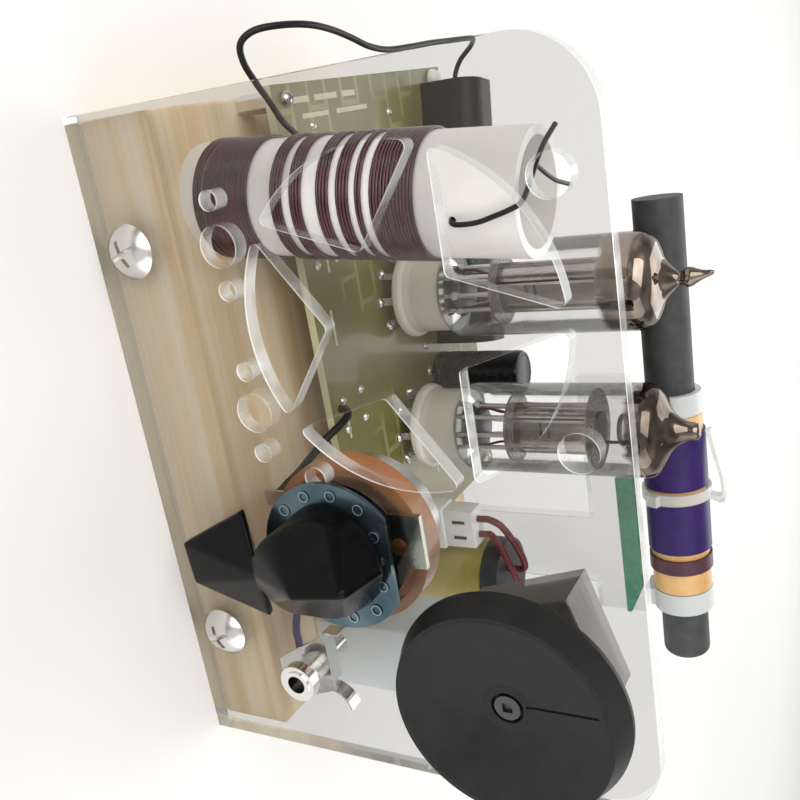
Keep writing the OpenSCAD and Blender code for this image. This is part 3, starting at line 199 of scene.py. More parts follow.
def facesGroup():
    tree, given, out = newGroup("facesAlong", {"Axis": ("Vector", (0, 0, 1))}, {"Mask": "Float"})
    normal = node(tree, "ShaderNodeNewGeometry").outputs["True Normal"]
    along = node(tree, "ShaderNodeVectorMath", operation="DOT_PRODUCT")
    feed(tree, normal, along.inputs[0])
    feed(tree, given["Axis"], along.inputs[1])
    upright = mathNode(tree, "ABSOLUTE", along.outputs["Value"])
    feed(tree, mapped(tree, upright, low=0.6, high=0.9), out["Mask"])
    return tree


def turnsGroup():
    tree, given, out = newGroup("wireTurns", {"Along": ("Float", 0.0), "Scale": ("Float", 500.0)},
                                {"Normal": "Vector"})
    line = node(tree, "ShaderNodeCombineXYZ", X=given["Along"]).outputs[0]
    turns = node(tree, "ShaderNodeTexWave", wave_type="BANDS", bands_direction="X", Vector=line,
                 Scale=given["Scale"])
    feed(tree, bump(tree, turns.outputs["Fac"], 0.35, 0.0001), out["Normal"])
    return tree


# Cut edges of clear sheet: painted light on the walls, with a painted highlight along the front rim and
# patchy painted light on walls facing up, and a mirror on the outline
sheetEdge = {"rim": (0.00045, 0.0002), "side": (0.05975, 0.05985), "foot": (0.0004, 0.0002)}


def sheetEdgesGroup():
    tree, given, out = newGroup("sheetEdges", {"Front": ("Float", 0.0)},
                                {"Wall": "Float", "Outline": "Float"})
    x, y, z = axisValues(tree, objectPlace(tree))
    rimStart, rimEnd = [added(tree, given["Front"], reach) for reach in sheetEdge["rim"]]
    rim = mapped(tree, y, low=rimStart, high=rimEnd)
    side = mapped(tree, mathNode(tree, "ABSOLUTE", x), low=sheetEdge["side"][0], high=sheetEdge["side"][1])
    foot = mapped(tree, z, low=sheetEdge["foot"][0], high=sheetEdge["foot"][1])
    feed(tree, mathNode(tree, "MAXIMUM", foot, side), out["Outline"])
    upward = axisValues(tree, node(tree, "ShaderNodeNewGeometry").outputs["True Normal"])["Z"]
    patch = mapped(tree, noise(tree, objectPlace(tree), 90, 2), low=0.42, high=0.6)
    lit = product(tree, mapped(tree, upward, low=0.1, high=0.9), added(tree, product(tree, patch, 0.4), 0.15))
    # Painted light on the cut walls: a painted highlight along the front rim, painted light on walls facing
    # up and a faint even glow
    feed(tree, added(tree, product(tree, rim, 0.6), lit, 0.06), out["Wall"])
    return tree


# Mirror film in the top of a tube, with a wavy lower edge
filmEdge = {"wave": 0.008, "below": -0.0006, "above": 0.0009}


def flashGroup():
    tree, given, out = newGroup("getterFlash", {"Edge": ("Float", 0.07)},
                                {"Flash": "Float", "Color": "Color"})
    wave = noise(tree, objectPlace(tree, (1, 1, 0.2)), 160, 2, 0.5)
    shift = product(tree, mathNode(tree, "SUBTRACT", wave, 0.5), filmEdge["wave"])
    height = added(tree, axisValues(tree, objectPlace(tree))["Z"], shift)
    low, high = [added(tree, given["Edge"], filmEdge[end]) for end in ("below", "above")]
    flash = mapped(tree, height, low=low, high=high)
    film = useGroup(tree, shared["patches"], Scale=120.0, Detail=2.0, Low=0.35, High=0.65,
                    Dark=(0.09, 0.07, 0.055), Light=(0.30, 0.25, 0.21))
    feed(tree, flash, out["Flash"])
    feed(tree, mixColors(tree, flash, (0.58, 0.59, 0.57), film["Color"]), out["Color"])
    return tree


shared = {"patches": patchesGroup(), "grain": grainGroup(), "faces": facesGroup(), "turns": turnsGroup(),
          "sheetEdges": sheetEdgesGroup()}
shared["flash"] = flashGroup()


# Materials
shaderInputs = {
    "color": "Base Color", "metal": "Metallic", "rough": "Roughness", "ior": "IOR", "alpha": "Alpha",
    "coat": "Coat Weight", "coatRough": "Coat Roughness", "spec": "Specular IOR Level", "normal": "Normal",
}


def newMaterial(name, **values):
    m = bpy.data.materials.new(name)
    m.use_nodes = True
    setShader(m, **values)
    return m, m.node_tree


def setShader(m, **values):
    shader = m.node_tree.nodes["Principled BSDF"]
    for key, value in values.items():
        feed(m.node_tree, value, shader.inputs[shaderInputs[key]])


def mottled(name, dark, light, scale, rough=(0.4, 0.6), strength=0.05, grainScale=None, **values):
    m, tree = newMaterial(name, **values)
    wide = useGroup(tree, shared["patches"], Scale=float(scale), Dark=dark, Light=light)
    fine = useGroup(tree, shared["grain"], Scale=float(grainScale or scale * 6),
                    Smooth=rough[0], Dull=rough[1], Strength=strength)
    setShader(m, color=wide["Color"], rough=fine["Roughness"], normal=fine["Normal"])
    return m


def metal(name, color, rough, strength=0.03, grainScale=900.0):
    m, tree = newMaterial(name, color=color, metal=1.0)
    wide = useGroup(tree, shared["grain"], Scale=160.0, Smooth=rough * 0.75, Dull=rough * 1.4)
    fine = useGroup(tree, shared["grain"], Scale=grainScale, Detail=2.0, Strength=strength)
    setShader(m, rough=wide["Roughness"], normal=fine["Normal"])
    return m


def frosted(name, color, alpha, rough):
    m, tree = newMaterial(name, color=color, rough=rough, ior=1.46)
    rim = node(tree, "ShaderNodeLayerWeight", Blend=0.4).outputs["Facing"]
    fine = useGroup(tree, shared["grain"], Scale=900.0, Detail=2.0)
    setShader(m, alpha=mapped(tree, rim, least=alpha, most=1.0), normal=fine["Normal"])
    return m


def wound(name, dark, light, perMetre, axis, **values):
    m, tree = newMaterial(name, **values)
    wide = useGroup(tree, shared["patches"], Scale=200.0, Dark=dark, Light=light)
    along = axisValues(tree, objectPlace(tree))[axis]
    turns = useGroup(tree, shared["turns"], Along=along, Scale=float(perMetre))
    setShader(m, color=wide["Color"], normal=turns["Normal"])
    return m


def pine():
    m, tree = newMaterial("pine", spec=0.3, rough=0.55)
    base = ramp(tree, noise(tree, objectPlace(tree, (3, 150, 150)), 1, 3, 0.5, 0.6),
                [(0.35, (0.80, 0.60, 0.37)), (0.5, (0.90, 0.74, 0.52)), (0.7, (0.94, 0.82, 0.64))])
    fine = noise(tree, objectPlace(tree, (40, 1400, 1400)), 1, 4, 0.6)
    fibre = ramp(tree, fine, [(0.35, (0.93, 0.90, 0.85)), (0.6, (1, 1, 1))])
    setShader(m, color=mixColors(tree, 0.8, base, fibre, "MULTIPLY"), normal=bump(tree, fine, 0.2, 0.0002))
    return m


def acrylic(name, edge, front, tint, gain):
    m, tree = newMaterial(name, rough=0.04, ior=1.49)
    flat = useGroup(tree, shared["faces"], Axis=(0, 1, 0))["Mask"]
    cut = mathNode(tree, "SUBTRACT", 1.0, flat)
    edges = useGroup(tree, shared["sheetEdges"], Front=front)
    outline = product(tree, edges["Outline"], cut)
    facing = node(tree, "ShaderNodeLayerWeight", Blend=0.5).outputs["Facing"]
    sheet = product(tree, added(tree, product(tree, mathNode(tree, "POWER", facing, 4.0), gain), tint), flat)
    faces = added(tree, sheet, product(tree, cut, edges["Wall"]))
    # Cut walls take the near-white edge colour at the painted wall opacity: painted light glowing along the
    # cut edges
    setShader(m, alpha=mathNode(tree, "MAXIMUM", faces, product(tree, outline, 0.75)),
              color=mixColors(tree, flat, edge, (0.12, 0.11, 0.095)),
              metal=mathNode(tree, "MAXIMUM", flat, outline))
    return m


def tubeGlass(name, flashEdge):
    m, tree = newMaterial(name, rough=0.05, ior=1.5, metal=1.0)
    film = useGroup(tree, shared["flash"], Edge=flashEdge)
    rim = node(tree, "ShaderNodeLayerWeight", Blend=0.25).outputs["Fresnel"]
    clear = added(tree, product(tree, rim, 0.8), 0.07)
    mirror = product(tree, film["Flash"], 0.97)
    setShader(m, alpha=mathNode(tree, "MAXIMUM", clear, mirror), color=film["Color"])
    return m


def laminate():
    m, tree = newMaterial("boardLaminate", spec=0.35, rough=0.35, coat=0.2)
    wide = useGroup(tree, shared["patches"], Scale=60.0, Low=0.35, High=0.65,
                    Dark=(0.165, 0.15, 0.045), Light=(0.225, 0.205, 0.065))["Color"]
    rows = {"Mortar Size": 0.035, "Mortar Smooth": 0.3, "Brick Width": 0.9, "Row Height": 0.33}
    lines = node(tree, "ShaderNodeTexBrick", Vector=objectPlace(tree), Scale=55, offset=0.37, **rows)
    stretches = mapped(tree, noise(tree, objectPlace(tree), 45, 1), low=0.5, high=0.56)
    traced = mixColors(tree, product(tree, lines.outputs["Fac"], stretches, 0.35), wide, (0.52, 0.50, 0.26))
    # Faces not lying flat, the board's cut edges, get a pale colour: a painted highlight along the edges
    top = useGroup(tree, shared["faces"], Axis=(0, 0, 1))["Mask"]
    setShader(m, color=mixColors(tree, top, (0.62, 0.60, 0.40), traced))
    return m


look = {
    "pine": pine(), "laminate": laminate(),
    "acrylic": acrylic("clearAcrylic", (0.93, 0.95, 0.93), -0.048, 0.17, 0.6),
    "bracketAcrylic": acrylic("bracketAcrylic", (0.93, 0.95, 0.94), 0.0187, 0.10, 0.8),
    "leftGlass": tubeGlass("leftTubeGlass", 0.0722), "rightGlass": tubeGlass("rightTubeGlass", 0.0750),
    "steel": metal("brightSteel", (0.62, 0.60, 0.57), 0.22),
    "nickel": metal("nickelPlate", (0.74, 0.73, 0.70), 0.14),
    "plated": metal("platedSteel", (0.46, 0.49, 0.43), 0.24),
    "tin": metal("tinnedMetal", (0.70, 0.69, 0.67), 0.28),
    "brass": metal("brassParts", (0.78, 0.62, 0.34), 0.28),
    "anode": metal("anodeMetal", (0.40, 0.37, 0.34), 0.22, 0.02, 500.0),
    "darkMetal": metal("tubeMetal", (0.10, 0.10, 0.10), 0.4),
    "case": frosted("casePlastic", (0.25, 0.23, 0.195), 0.28, 0.3),
    "clamp": frosted("clampPlastic", (0.62, 0.65, 0.64), 0.82, 0.35),
    "tie": frosted("clearTie", (0.70, 0.72, 0.70), 0.35, 0.2),
    "purple": wound("purpleWire", (0.014, 0.004, 0.075), (0.030, 0.008, 0.12), 640, 0, rough=0.38, spec=0.3),
    "linkWire": wound("linkWire", (0.045, 0.008, 0.022), (0.075, 0.014, 0.034), 500, 0, rough=0.4),
    "yellow": wound("yellowTape", (0.34, 0.28, 0.07), (0.46, 0.39, 0.12), 420, 2, rough=0.35),
    "pipe": mottled("whitePipe", (0.80, 0.78, 0.74), (0.88, 0.86, 0.82), 60, (0.3, 0.45), 0.03, spec=0.4),
    "enamel": mottled("enamelledWire", (0.032, 0.005, 0.009), (0.085, 0.012, 0.02), 260, (0.15, 0.25), 0.02,
                      coat=0.5, coatRough=0.08),
    "black": mottled("blackInsulation", (0.004,) * 3, (0.008,) * 3, 300, (0.3, 0.45), 0.03, spec=0.3),
    "print": mottled("boardPrint", (0.55, 0.53, 0.36), (0.68, 0.66, 0.48), 300, (0.4, 0.5), 0.02),
    "ceramic": mottled("socketCeramic", (0.62, 0.59, 0.51), (0.72, 0.69, 0.61), 120, (0.25, 0.35), 0.01),
    "mica": mottled("mica", (0.16, 0.14, 0.12), (0.30, 0.27, 0.23), 260, (0.2, 0.35), 0.05),
    "dial": mottled("dialPlastic", (0.011, 0.0105, 0.011), (0.016, 0.0155, 0.016), 240, (0.36, 0.48), 0.06,
                    2600, spec=0.2),
    "dialLine": mottled("dialLine", (0.003,) * 3, (0.006,) * 3, 240, (0.5, 0.6), 0.02),
    "phenolic": mottled("phenolic", (0.36, 0.12, 0.03), (0.56, 0.24, 0.085), 90, (0.25, 0.4), 0.05, coat=0.4),
    "scale": mottled("scalePaint", (0.05, 0.09, 0.115), (0.14, 0.19, 0.22), 140, (0.16, 0.28), 0.03,
                     metal=0.9),
    "markLine": mottled("markLine", (0.26, 0.34, 0.38), (0.40, 0.48, 0.52), 300, (0.25, 0.35), 0.02,
                        metal=0.7),
    "knob": mottled("knobPlastic", (0.0025, 0.0025, 0.003), (0.0045, 0.0045, 0.005), 200, (0.16, 0.24), 0.015,
                    spec=0.1),
    "ferrite": mottled("ferrite", (0.028, 0.029, 0.031), (0.052, 0.054, 0.057), 320, (0.5, 0.7), 0.2, 1800),
    "sleeve": mottled("paperSleeve", (0.58, 0.32, 0.11), (0.72, 0.45, 0.19), 220, (0.3, 0.45), 0.06),
    "green": mottled("greenLaminate", (0.02, 0.17, 0.085), (0.045, 0.25, 0.13), 150, (0.2, 0.35), 0.03,
                     coat=0.5),
    "box": mottled("boxPlastic", (0.0045,) * 3, (0.008,) * 3, 200, (0.3, 0.45), 0.06, spec=0.22),
    "cell": mottled("cellSleeve", (0.05, 0.12, 0.24), (0.07, 0.16, 0.30), 120, (0.25, 0.35), 0.02),
    "sleeveBlack": mottled("capacitorSleeve", (0.0035, 0.0035, 0.004), (0.006, 0.006, 0.0065), 180,
                           (0.2, 0.35), 0.03, spec=0.25),
    "red": mottled("redWire", (0.11, 0.008, 0.01), (0.17, 0.014, 0.016), 240, (0.35, 0.5), 0.03),
    "potting": mottled("potting", (0.70, 0.77, 0.80), (0.78, 0.84, 0.87), 120, (0.25, 0.4), 0.03),
    "nylon": mottled("whiteNylon", (0.78, 0.78, 0.74), (0.88, 0.88, 0.85), 160, (0.3, 0.45), 0.03),
    "resistor": mottled("resistorBody", (0.52, 0.40, 0.22), (0.62, 0.50, 0.32), 180, (0.3, 0.45), 0.03),
    "band": mottled("resistorBand", (0.16, 0.04, 0.02), (0.22, 0.06, 0.03), 180, (0.3, 0.45), 0.03),
    "blue": mottled("blueWire", (0.045, 0.05, 0.19), (0.07, 0.075, 0.26), 240, (0.35, 0.5), 0.03),
}
print("materials ready")

# Materials of the nodes that are shown as they come from the part
finish = {
    "acrylic": ["front_panel"], "bracketAcrylic": ["rod_bracket"], "pipe": ["coil_former"],
    "steel": ["panel_screws", "board_screws", "bracket_screws"], "laminate": ["circuit_board"],
    "nickel": ["board_standoffs", "control_shaft", "control_nut", "jack_frame", "jack_springs", "jack_nut"],
    "plated": ["control_bush"], "tin": ["socket_contacts", "left_pins", "right_pins", "capacitor_stator",
                                        "control_lugs", "control_cover"],
    "ceramic": ["tube_sockets"], "mica": ["left_micas", "right_micas"], "dial": ["tuning_dial"],
    "darkMetal": ["left_getter", "right_getter", "dial_screw", "knob_screw"], "case": ["capacitor_case"],
    "brass": ["capacitor_rotor"], "phenolic": ["control_disc"], "scale": ["scale_plate"],
    "ferrite": ["ferrite_rod", "step_up_core"], "sleeve": ["rod_sleeve"], "purple": ["rod_windings"],
    "linkWire": ["rod_link_winding"], "clamp": ["rod_clamps"], "tie": ["rod_tie"], "green": ["antenna_board"],
    "box": ["battery_box", "battery_lid"], "cell": ["battery_cell"], "yellow": ["step_up_coil"],
}
for key, names in finish.items():
    for name in names:
        mesh = nodes[name].data
        mesh.materials.clear()
        mesh.materials.append(look[key])


# Shape helpers
def polar(r, angle, z):
    return cadPoint((r * math.cos(angle), r * math.sin(angle), z))


def addMesh(name, verts, faces, material, body="chassis", smooth=True, flatAngle=None):
    mesh = bpy.data.meshes.new(name)
    mesh.from_pydata([tuple(v) for v in verts], [], faces)
    bm = bmesh.new()
    bm.from_mesh(mesh)
    bmesh.ops.recalc_face_normals(bm, faces=bm.faces)
    bm.to_mesh(mesh)
    bm.free()
    mesh.materials.append(look[material])
    for p in mesh.polygons:
        p.use_smooth = smooth
    if smooth and flatAngle:
        mesh.set_sharp_from_angle(angle=math.radians(flatAngle))
    obj = bpy.data.objects.new(name, mesh)
    bpy.context.scene.collection.objects.link(obj)
    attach(obj, body)
    return obj


def smoothPath(points, steps):
    out = []
    for i in range(len(points) - 1):
        a, b, c, d = points[max(i - 1, 0)], points[i], points[i + 1], points[min(i + 2, len(points) - 1)]
        for k in range(steps):
            t = k / steps
            bend = (2 * a - 5 * b + 4 * c - d) * t * t + (3 * b - a - 3 * c + d) * t ** 3
            out.append(0.5 * ((2 * b) + (c - a) * t + bend))
    out.append(points[-1])
    return out


def tubeAlong(name, points, radius, sides, material, body="chassis"):
    verts, faces, side = [], [], None
    for i, p in enumerate(points):
        tangent = (points[min(i + 1, len(points) - 1)] - points[max(i - 1, 0)]).normalized()
        if side is None:
            side = tangent.orthogonal().normalized()
        side = (side - tangent * side.dot(tangent)).normalized()
        other = tangent.cross(side)
        r = radius(i / (len(points) - 1)) if callable(radius) else radius
        for j in range(sides):
            a = 2 * math.pi * j / sides
            verts.append(p + r * (math.cos(a) * side + math.sin(a) * other))
    for i in range(len(points) - 1):
        for j in range(sides):
            k = (j + 1) % sides
            faces.append((i * sides + j, i * sides + k, (i + 1) * sides + k, (i + 1) * sides + j))
    faces.append(tuple(range(sides)))
    faces.append(tuple((len(points) - 1) * sides + j for j in range(sides)))
    return addMesh(name, verts, faces, material, body, True, 50)


def lathe(name, profile, sides, matrix, material, body="chassis", flatAngle=35, closed=False):
    verts, faces, rows = [], [], []
    for r, z in profile:
        if r < 1e-6:
            rows.append([len(verts)])
            verts.append(matrix @ cadPoint((0, 0, z)))
        else:
            rows.append(list(range(len(verts), len(verts) + sides)))
            verts += [matrix @ polar(r, 2 * math.pi * j / sides, z) for j in range(sides)]
    pairs = list(zip(rows, rows[1:])) + ([(rows[-1], rows[0])] if closed else [])
    for a, b in pairs:
        for j in range(sides):
            k = (j + 1) % sides
            if len(a) > 1 and len(b) > 1:
                faces.append((a[j], a[k], b[k], b[j]))
            elif len(a) > 1:
                faces.append((a[j], a[k], b[0]))
            elif len(b) > 1:
                faces.append((a[0], b[k], b[j]))
    return addMesh(name, verts, faces, material, body, True, flatAngle)


def bevelBox(name, low, high, matrix, material, width=0.4, segments=3, body="chassis"):
    bm = bmesh.new()
    corners = [(x, y, z) for x in (low[0], high[0]) for y in (low[1], high[1]) for z in (low[2], high[2])]
    made = [bm.verts.new(matrix @ cadPoint(c)) for c in corners]
    for f in ((0, 1, 3, 2), (4, 6, 7, 5), (0, 4, 5, 1), (2, 3, 7, 6), (0, 2, 6, 4), (1, 5, 7, 3)):
        bm.faces.new([made[i] for i in f])
    bmesh.ops.bevel(bm, geom=list(bm.edges), offset=width * mm, segments=segments, affect="EDGES",
                    profile=0.5)
    bmesh.ops.recalc_face_normals(bm, faces=bm.faces)
    verts = [v.co.copy() for v in bm.verts]
    bm.verts.index_update()
    faces = [tuple(v.index for v in f.verts) for f in bm.faces]
    bm.free()
    return addMesh(name, verts, faces, material, body, True, 30)


def frontMatrix(x, z):
    return Matrix.Translation(at(x, 0, z)) @ Matrix.Rotation(math.pi / 2, 4, "X")


def prism(name, outline, low, high, matrix, material, body="chassis", flatAngle=30):
    n = len(outline)
    verts = [matrix @ cadPoint((x, y, z)) for z in (low, high) for x, y in outline]
    faces = [(i, (i + 1) % n, n + (i + 1) % n, n + i) for i in range(n)]
    faces += [tuple(range(n)), tuple(range(n, 2 * n))]
    return addMesh(name, verts, faces, material, body, True, flatAngle)


def ringTube(name, radius, thick, matrix, material, body="chassis"):
    angles = [2 * math.pi * j / 10 for j in range(10)]
    profile = [(radius + thick * math.cos(a), thick * math.sin(a)) for a in angles]
    return lathe(name, profile, 32, matrix, material, body, 80, True)


def hullObject(name, points):
    bm = bmesh.new()
    for p in points:
        bm.verts.new(p)
    made = bmesh.ops.convex_hull(bm, input=bm.verts)
    spare = {v for v in made["geom_interior"] + made["geom_unused"] if isinstance(v, bmesh.types.BMVert)}
    bmesh.ops.delete(bm, geom=list(spare), context="VERTS")
    bmesh.ops.recalc_face_normals(bm, faces=bm.faces)
    mesh = bpy.data.meshes.new(name)
    bm.to_mesh(mesh)
    bm.free()
    obj = bpy.data.objects.new(name, mesh)
    bpy.context.scene.collection.objects.link(obj)
    return obj


def bakedMesh(obj):
    graph = bpy.context.evaluated_depsgraph_get()
    return bpy.data.meshes.new_from_object(obj.evaluated_get(graph))


# Places that several pieces share
coil = {"place": (-42.6, 16.4, 15), "lean": 4.6}
coilMatrix = Matrix.Translation(at(*coil["place"])) @ Matrix.Rotation(math.radians(coil["lean"]), 4, "Y")
boardTop = 25.0

# Base board with soft edges, a hair behind the panel so that their faces don't meet
pineBoard = {"low": (-59, -44.95, 0), "high": (59, 45, 15), "edge": 0.7}
baseBoard = bevelBox("baseBoard", pineBoard["low"], pineBoard["high"], Matrix.Identity(4), "pine",
                     pineBoard["edge"], 3)
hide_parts("base_board")

# Battery lead, on the same route as in the part's source
batteryLead = {
    "diameter": 1.1,
    "route": [
        (-54.6, 38.2, 32), (-57.4, 38.7, 32), (-60.2, 38.7, 33.6), (-62.6, 36.6, 37.4),
        (-63.8, 31.6, 40.4), (-63.8, 25, 41.5), (-63.6, 17, 41.4), (-63.4, 9, 41.2), (-63, 1, 41),
        (-62.8, -7, 40.4), (-63.6, -13, 40), (-65.2, -18, 39.6), (-66.6, -23.4, 39.3),
        (-67.5, -29, 38.8), (-67.8, -34.4, 37.2), (-67.5, -38.2, 34.6), (-66, -39.4, 32.4),
        (-63.4, -38, 31.2), (-60.2, -35.4, 30.9), (-57, -31.6, 30.2), (-53.6, -27.8, 29.4),
        (-51.2, -23.8, 28.9), (-50.2, -20.6, 27.8), (-50.2, -19.6, 26.2), (-50.2, -19.6, 24.2),
    ],
}
leadPath = smoothPath([cadPoint(p) for p in batteryLead["route"]], 6)
lead = tubeAlong("batteryLead", leadPath, batteryLead["diameter"] / 2 * mm, 16, "black")
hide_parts("battery_lead")

# Short wires between the parts
wires = {
    "coilLead": {"nodes": ["coil_lead"], "radius": 0.4, "look": "black", "frame": "coil", "route": [
        (1.9, -7.6, 50.1), (2.3, -9, 50.1), (2.6, -10.1, 50.2), (2.8, -10.7, 51.4), (2.5, -10.8, 54.4),
        (1.6, -10.8, 57.2), (0.7, -10.8, 59.6), (0, -10.2, 60.9), (-0.8, -8.7, 61.1), (-1.8, -7, 61),
        (-3, -4.8, 60.8), (-4.4, -2.8, 60.7), (-5.8, -0.9, 60.7), (-7.2, 0.9, 60.9), (-8.6, 2.8, 61.3),
        (-9.4, 3.8, 61.6)]},
    "coilBranch": {"nodes": [], "radius": 0.35, "look": "black", "frame": "coil", "route": [
        (-4.4, -2.8, 60.7), (-3.4, -0.6, 60.7), (-2.2, 2, 60.8), (-1, 5, 61), (-0.2, 8, 61.2),
        (0.4, 10.4, 61.4)]},
    "hookUpWire": {"nodes": ["hook_up_wires"], "radius": 0.75, "look": "black", "frame": "", "route": [
        (1.2, -20.5, 24.2), (1.2, -20.5, 25.2), (1.2, -20.5, 26.2), (1.8, -22.2, 27.6), (2.8, -25, 27.2),
        (4.6, -28, 25.4), (7.2, -30.6, 23.2), (9.8, -32.6, 20.8), (11.6, -33.6, 18.6), (12.4, -34.8, 18),
        (12.4, -36.2, 18), (12.4, -37.8, 18)]},
    "jackWire": {"nodes": [], "radius": 0.75, "look": "blue", "frame": "", "route": [
        (22.4, -37.8, 18), (22.4, -36.4, 18), (22.4, -35, 18), (23.6, -33.9, 18.6), (26.4, -34.4, 19.8),
        (29.6, -37, 20.8), (32.8, -39.8, 20.9), (36.2, -41.2, 20.2), (39.6, -41, 19.2), (42.6, -40, 18.4),
        (44.4, -40, 18.1), (44.6, -41.4, 18), (44.6, -42.7, 18), (44.6, -44.1, 18)]},
    "stepUpLead1": {"nodes": ["step_up_leads"], "radius": 0.75, "look": "red", "frame": "", "route": [
        (33.6, -0.5, 41.1), (33.6, -0.5, 42.4), (33.6, -0.5, 43.6), (35, -0.2, 46), (38.4, 0.4, 48),
        (42.4, 1.4, 49.2), (45.4, 2.2, 49.4), (46.7, 2.6, 48.6), (46.8, 2.6, 47.4), (46.8, 2.6, 46.2),
        (46.8, 2.6, 45.1)]},
    "stepUpLead2": {"nodes": [], "radius": 0.75, "look": "red", "frame": "", "route": [
        (37.2, -0.5, 41.1), (37.2, -0.5, 42.4), (37.2, -0.5, 43.6), (38.8, -1.2, 45.4), (42, -1.6, 47),
        (46, -1.2, 48.2), (49.4, -0.2, 48.9), (50.9, 0.3, 48.4), (51, 0.4, 47.3), (51, 0.4, 46.2),
        (51, 0.4, 45.1)]},
}
for name, w in wires.items():
    base = coilMatrix if w["frame"] == "coil" else Matrix.Identity(4)
    path = smoothPath([base @ cadPoint(p) for p in w["route"]], 6)
    piece = tubeAlong(name, path, w["radius"] * mm, 14, w["look"])
    if w["nodes"]:
        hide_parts(*w["nodes"])
print("wires ready")

# Windings on the coil's pipe, in the part's groups of turns, with finer wire and closer turns
winding = {"radius": 10.11, "wire": 0.54, "pitch": 0.57, "start": 60, "steps": 40, "sides": 8,
           "inside": 8.1, "crossing": 0.25, "loose": 0.05, "waves": (3.1, 0.37),
           "tuning": [(4, 18.5), (4, 22.2), (4, 27.2), (4, 30.8), (2, 34.2), (13, 36.7)],
           "reaction": [(3, 2.9), (16, 4.9)]}


def turnHeight(groups, t):
    pitch, crossing, done = winding["pitch"], winding["crossing"], 0
    for k, (count, start) in enumerate(groups):
        if t < done + count or k == len(groups) - 1:
            u = t - done
            left = count - u
            if k == len(groups) - 1 or left > crossing:
                return start + pitch * u
            top = start + pitch * (count - crossing)
            return top + (groups[k + 1][1] - top) * (crossing - left) / crossing
        done += count


for name in ("tuning", "reaction"):
    groups = winding[name]
    total = sum(g[0] for g in groups)
    a0 = math.radians(winding["start"])
    inward = Vector((math.cos(a0), math.sin(a0), 0))
    low, high = turnHeight(groups, 0), turnHeight(groups, total)
    steps = winding["steps"]
    path = [inward * winding["inside"] + Vector((0, 0, low))]
    for i in range(total * steps + 1):
        a = a0 + 2 * math.pi * i / steps
        loose = winding["loose"] * math.sin(winding["waves"][0] * a) * math.sin(winding["waves"][1] * a)
        path.append(Vector((winding["radius"] * math.cos(a), winding["radius"] * math.sin(a),
                            turnHeight(groups, i / steps) + loose)))
    path.append(inward * winding["inside"] + Vector((0, 0, high)))
    piece = tubeAlong(name + "Winding", [coilMatrix @ (p * mm) for p in path], winding["wire"] / 2 * mm,
                      winding["sides"], "enamel")
    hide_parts(name + "_winding")
print("windings ready")

# Pointer knob, two hulls joined and rounded
knob = {"place": (17.4, 37.3), "turn": 4, "disc": [(10, 1.3), (9.1, 5.6)], "end": [(7.4, 1.3), (7.4, 7.6)],
        "endPlace": -4.6, "boreRadius": 7, "boreLow": -1, "boreTop": 3.5, "boreSides": 64, "sides": 96,
        "voxel": 0.28, "smoothing": 10,
        "ridge": [(0, 11.9, 4.6), (0, 9.6, 12.6), (0, 8.6, 13.3), (0, 0, 14.2), (0, -12.6, 7.8)],
        "ridgeHalf": 0.5,
        "pointer": [(10.2, -14.6, 2.8), (10.2, -14.2, 4.5), (4, -29.6, 2.8), (4, -29.4, 4.9)],
        "pointerRidge": [(0, -10.4, 8.3), (0, -11.6, 8.4)]}
ringPoints = []
for i in range(knob["sides"]):
    angle = 2 * math.pi * i / knob["sides"]
    for shift, rings in ((0, knob["disc"]), (knob["endPlace"], knob["end"])):
        ringPoints += [polar(r, angle, z) + cadPoint((0, shift, 0)) for r, z in rings]
side = Vector((knob["ridgeHalf"], 0, 0))
gripPoints = ringPoints + [(Vector(p) + s * side) * mm for p in knob["ridge"] for s in (-1, 1)]
pointerPoints = [cadPoint((s * p[0], p[1], p[2])) for p in knob["pointer"] for s in (-1, 1)]
pointerPoints += [(Vector(p) + s * side) * mm for p in knob["pointerRidge"] for s in (-1, 1)]
grip = hullObject("knobGrip", gripPoints)
pointer = hullObject("knobPointer", pointerPoints)
boreRing = [polar(knob["boreRadius"], 2 * math.pi * i / knob["boreSides"], z)
            for i in range(knob["boreSides"]) for z in (knob["boreLow"], knob["boreTop"])]
bore = hullObject("knobBore", boreRing)
for other, kind in ((pointer, "UNION"), (bore, "DIFFERENCE")):
    joined = grip.modifiers.new(kind.lower(), "BOOLEAN")
    joined.operation, joined.solver, joined.object = kind, "EXACT", other
remesh = grip.modifiers.new("remesh", "REMESH")
remesh.mode, remesh.voxel_size = "VOXEL", knob["voxel"] * mm
soften = grip.modifiers.new("soften", "SMOOTH")
soften.factor, soften.iterations = 0.5, knob["smoothing"]
rounded = bakedMesh(grip)
knobMatrix = frontMatrix(*knob["place"]) @ Matrix.Rotation(math.radians(knob["turn"]), 4, "Z")
knobPiece = addMesh("pointerKnob", [knobMatrix @ v.co for v in rounded.vertices],
                    [tuple(f.vertices) for f in rounded.polygons], "knob", "knob", True, None)
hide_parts("pointer_knob")
for spare in (grip, pointer, bore):
    bpy.data.objects.remove(spare)
print("knob ready")

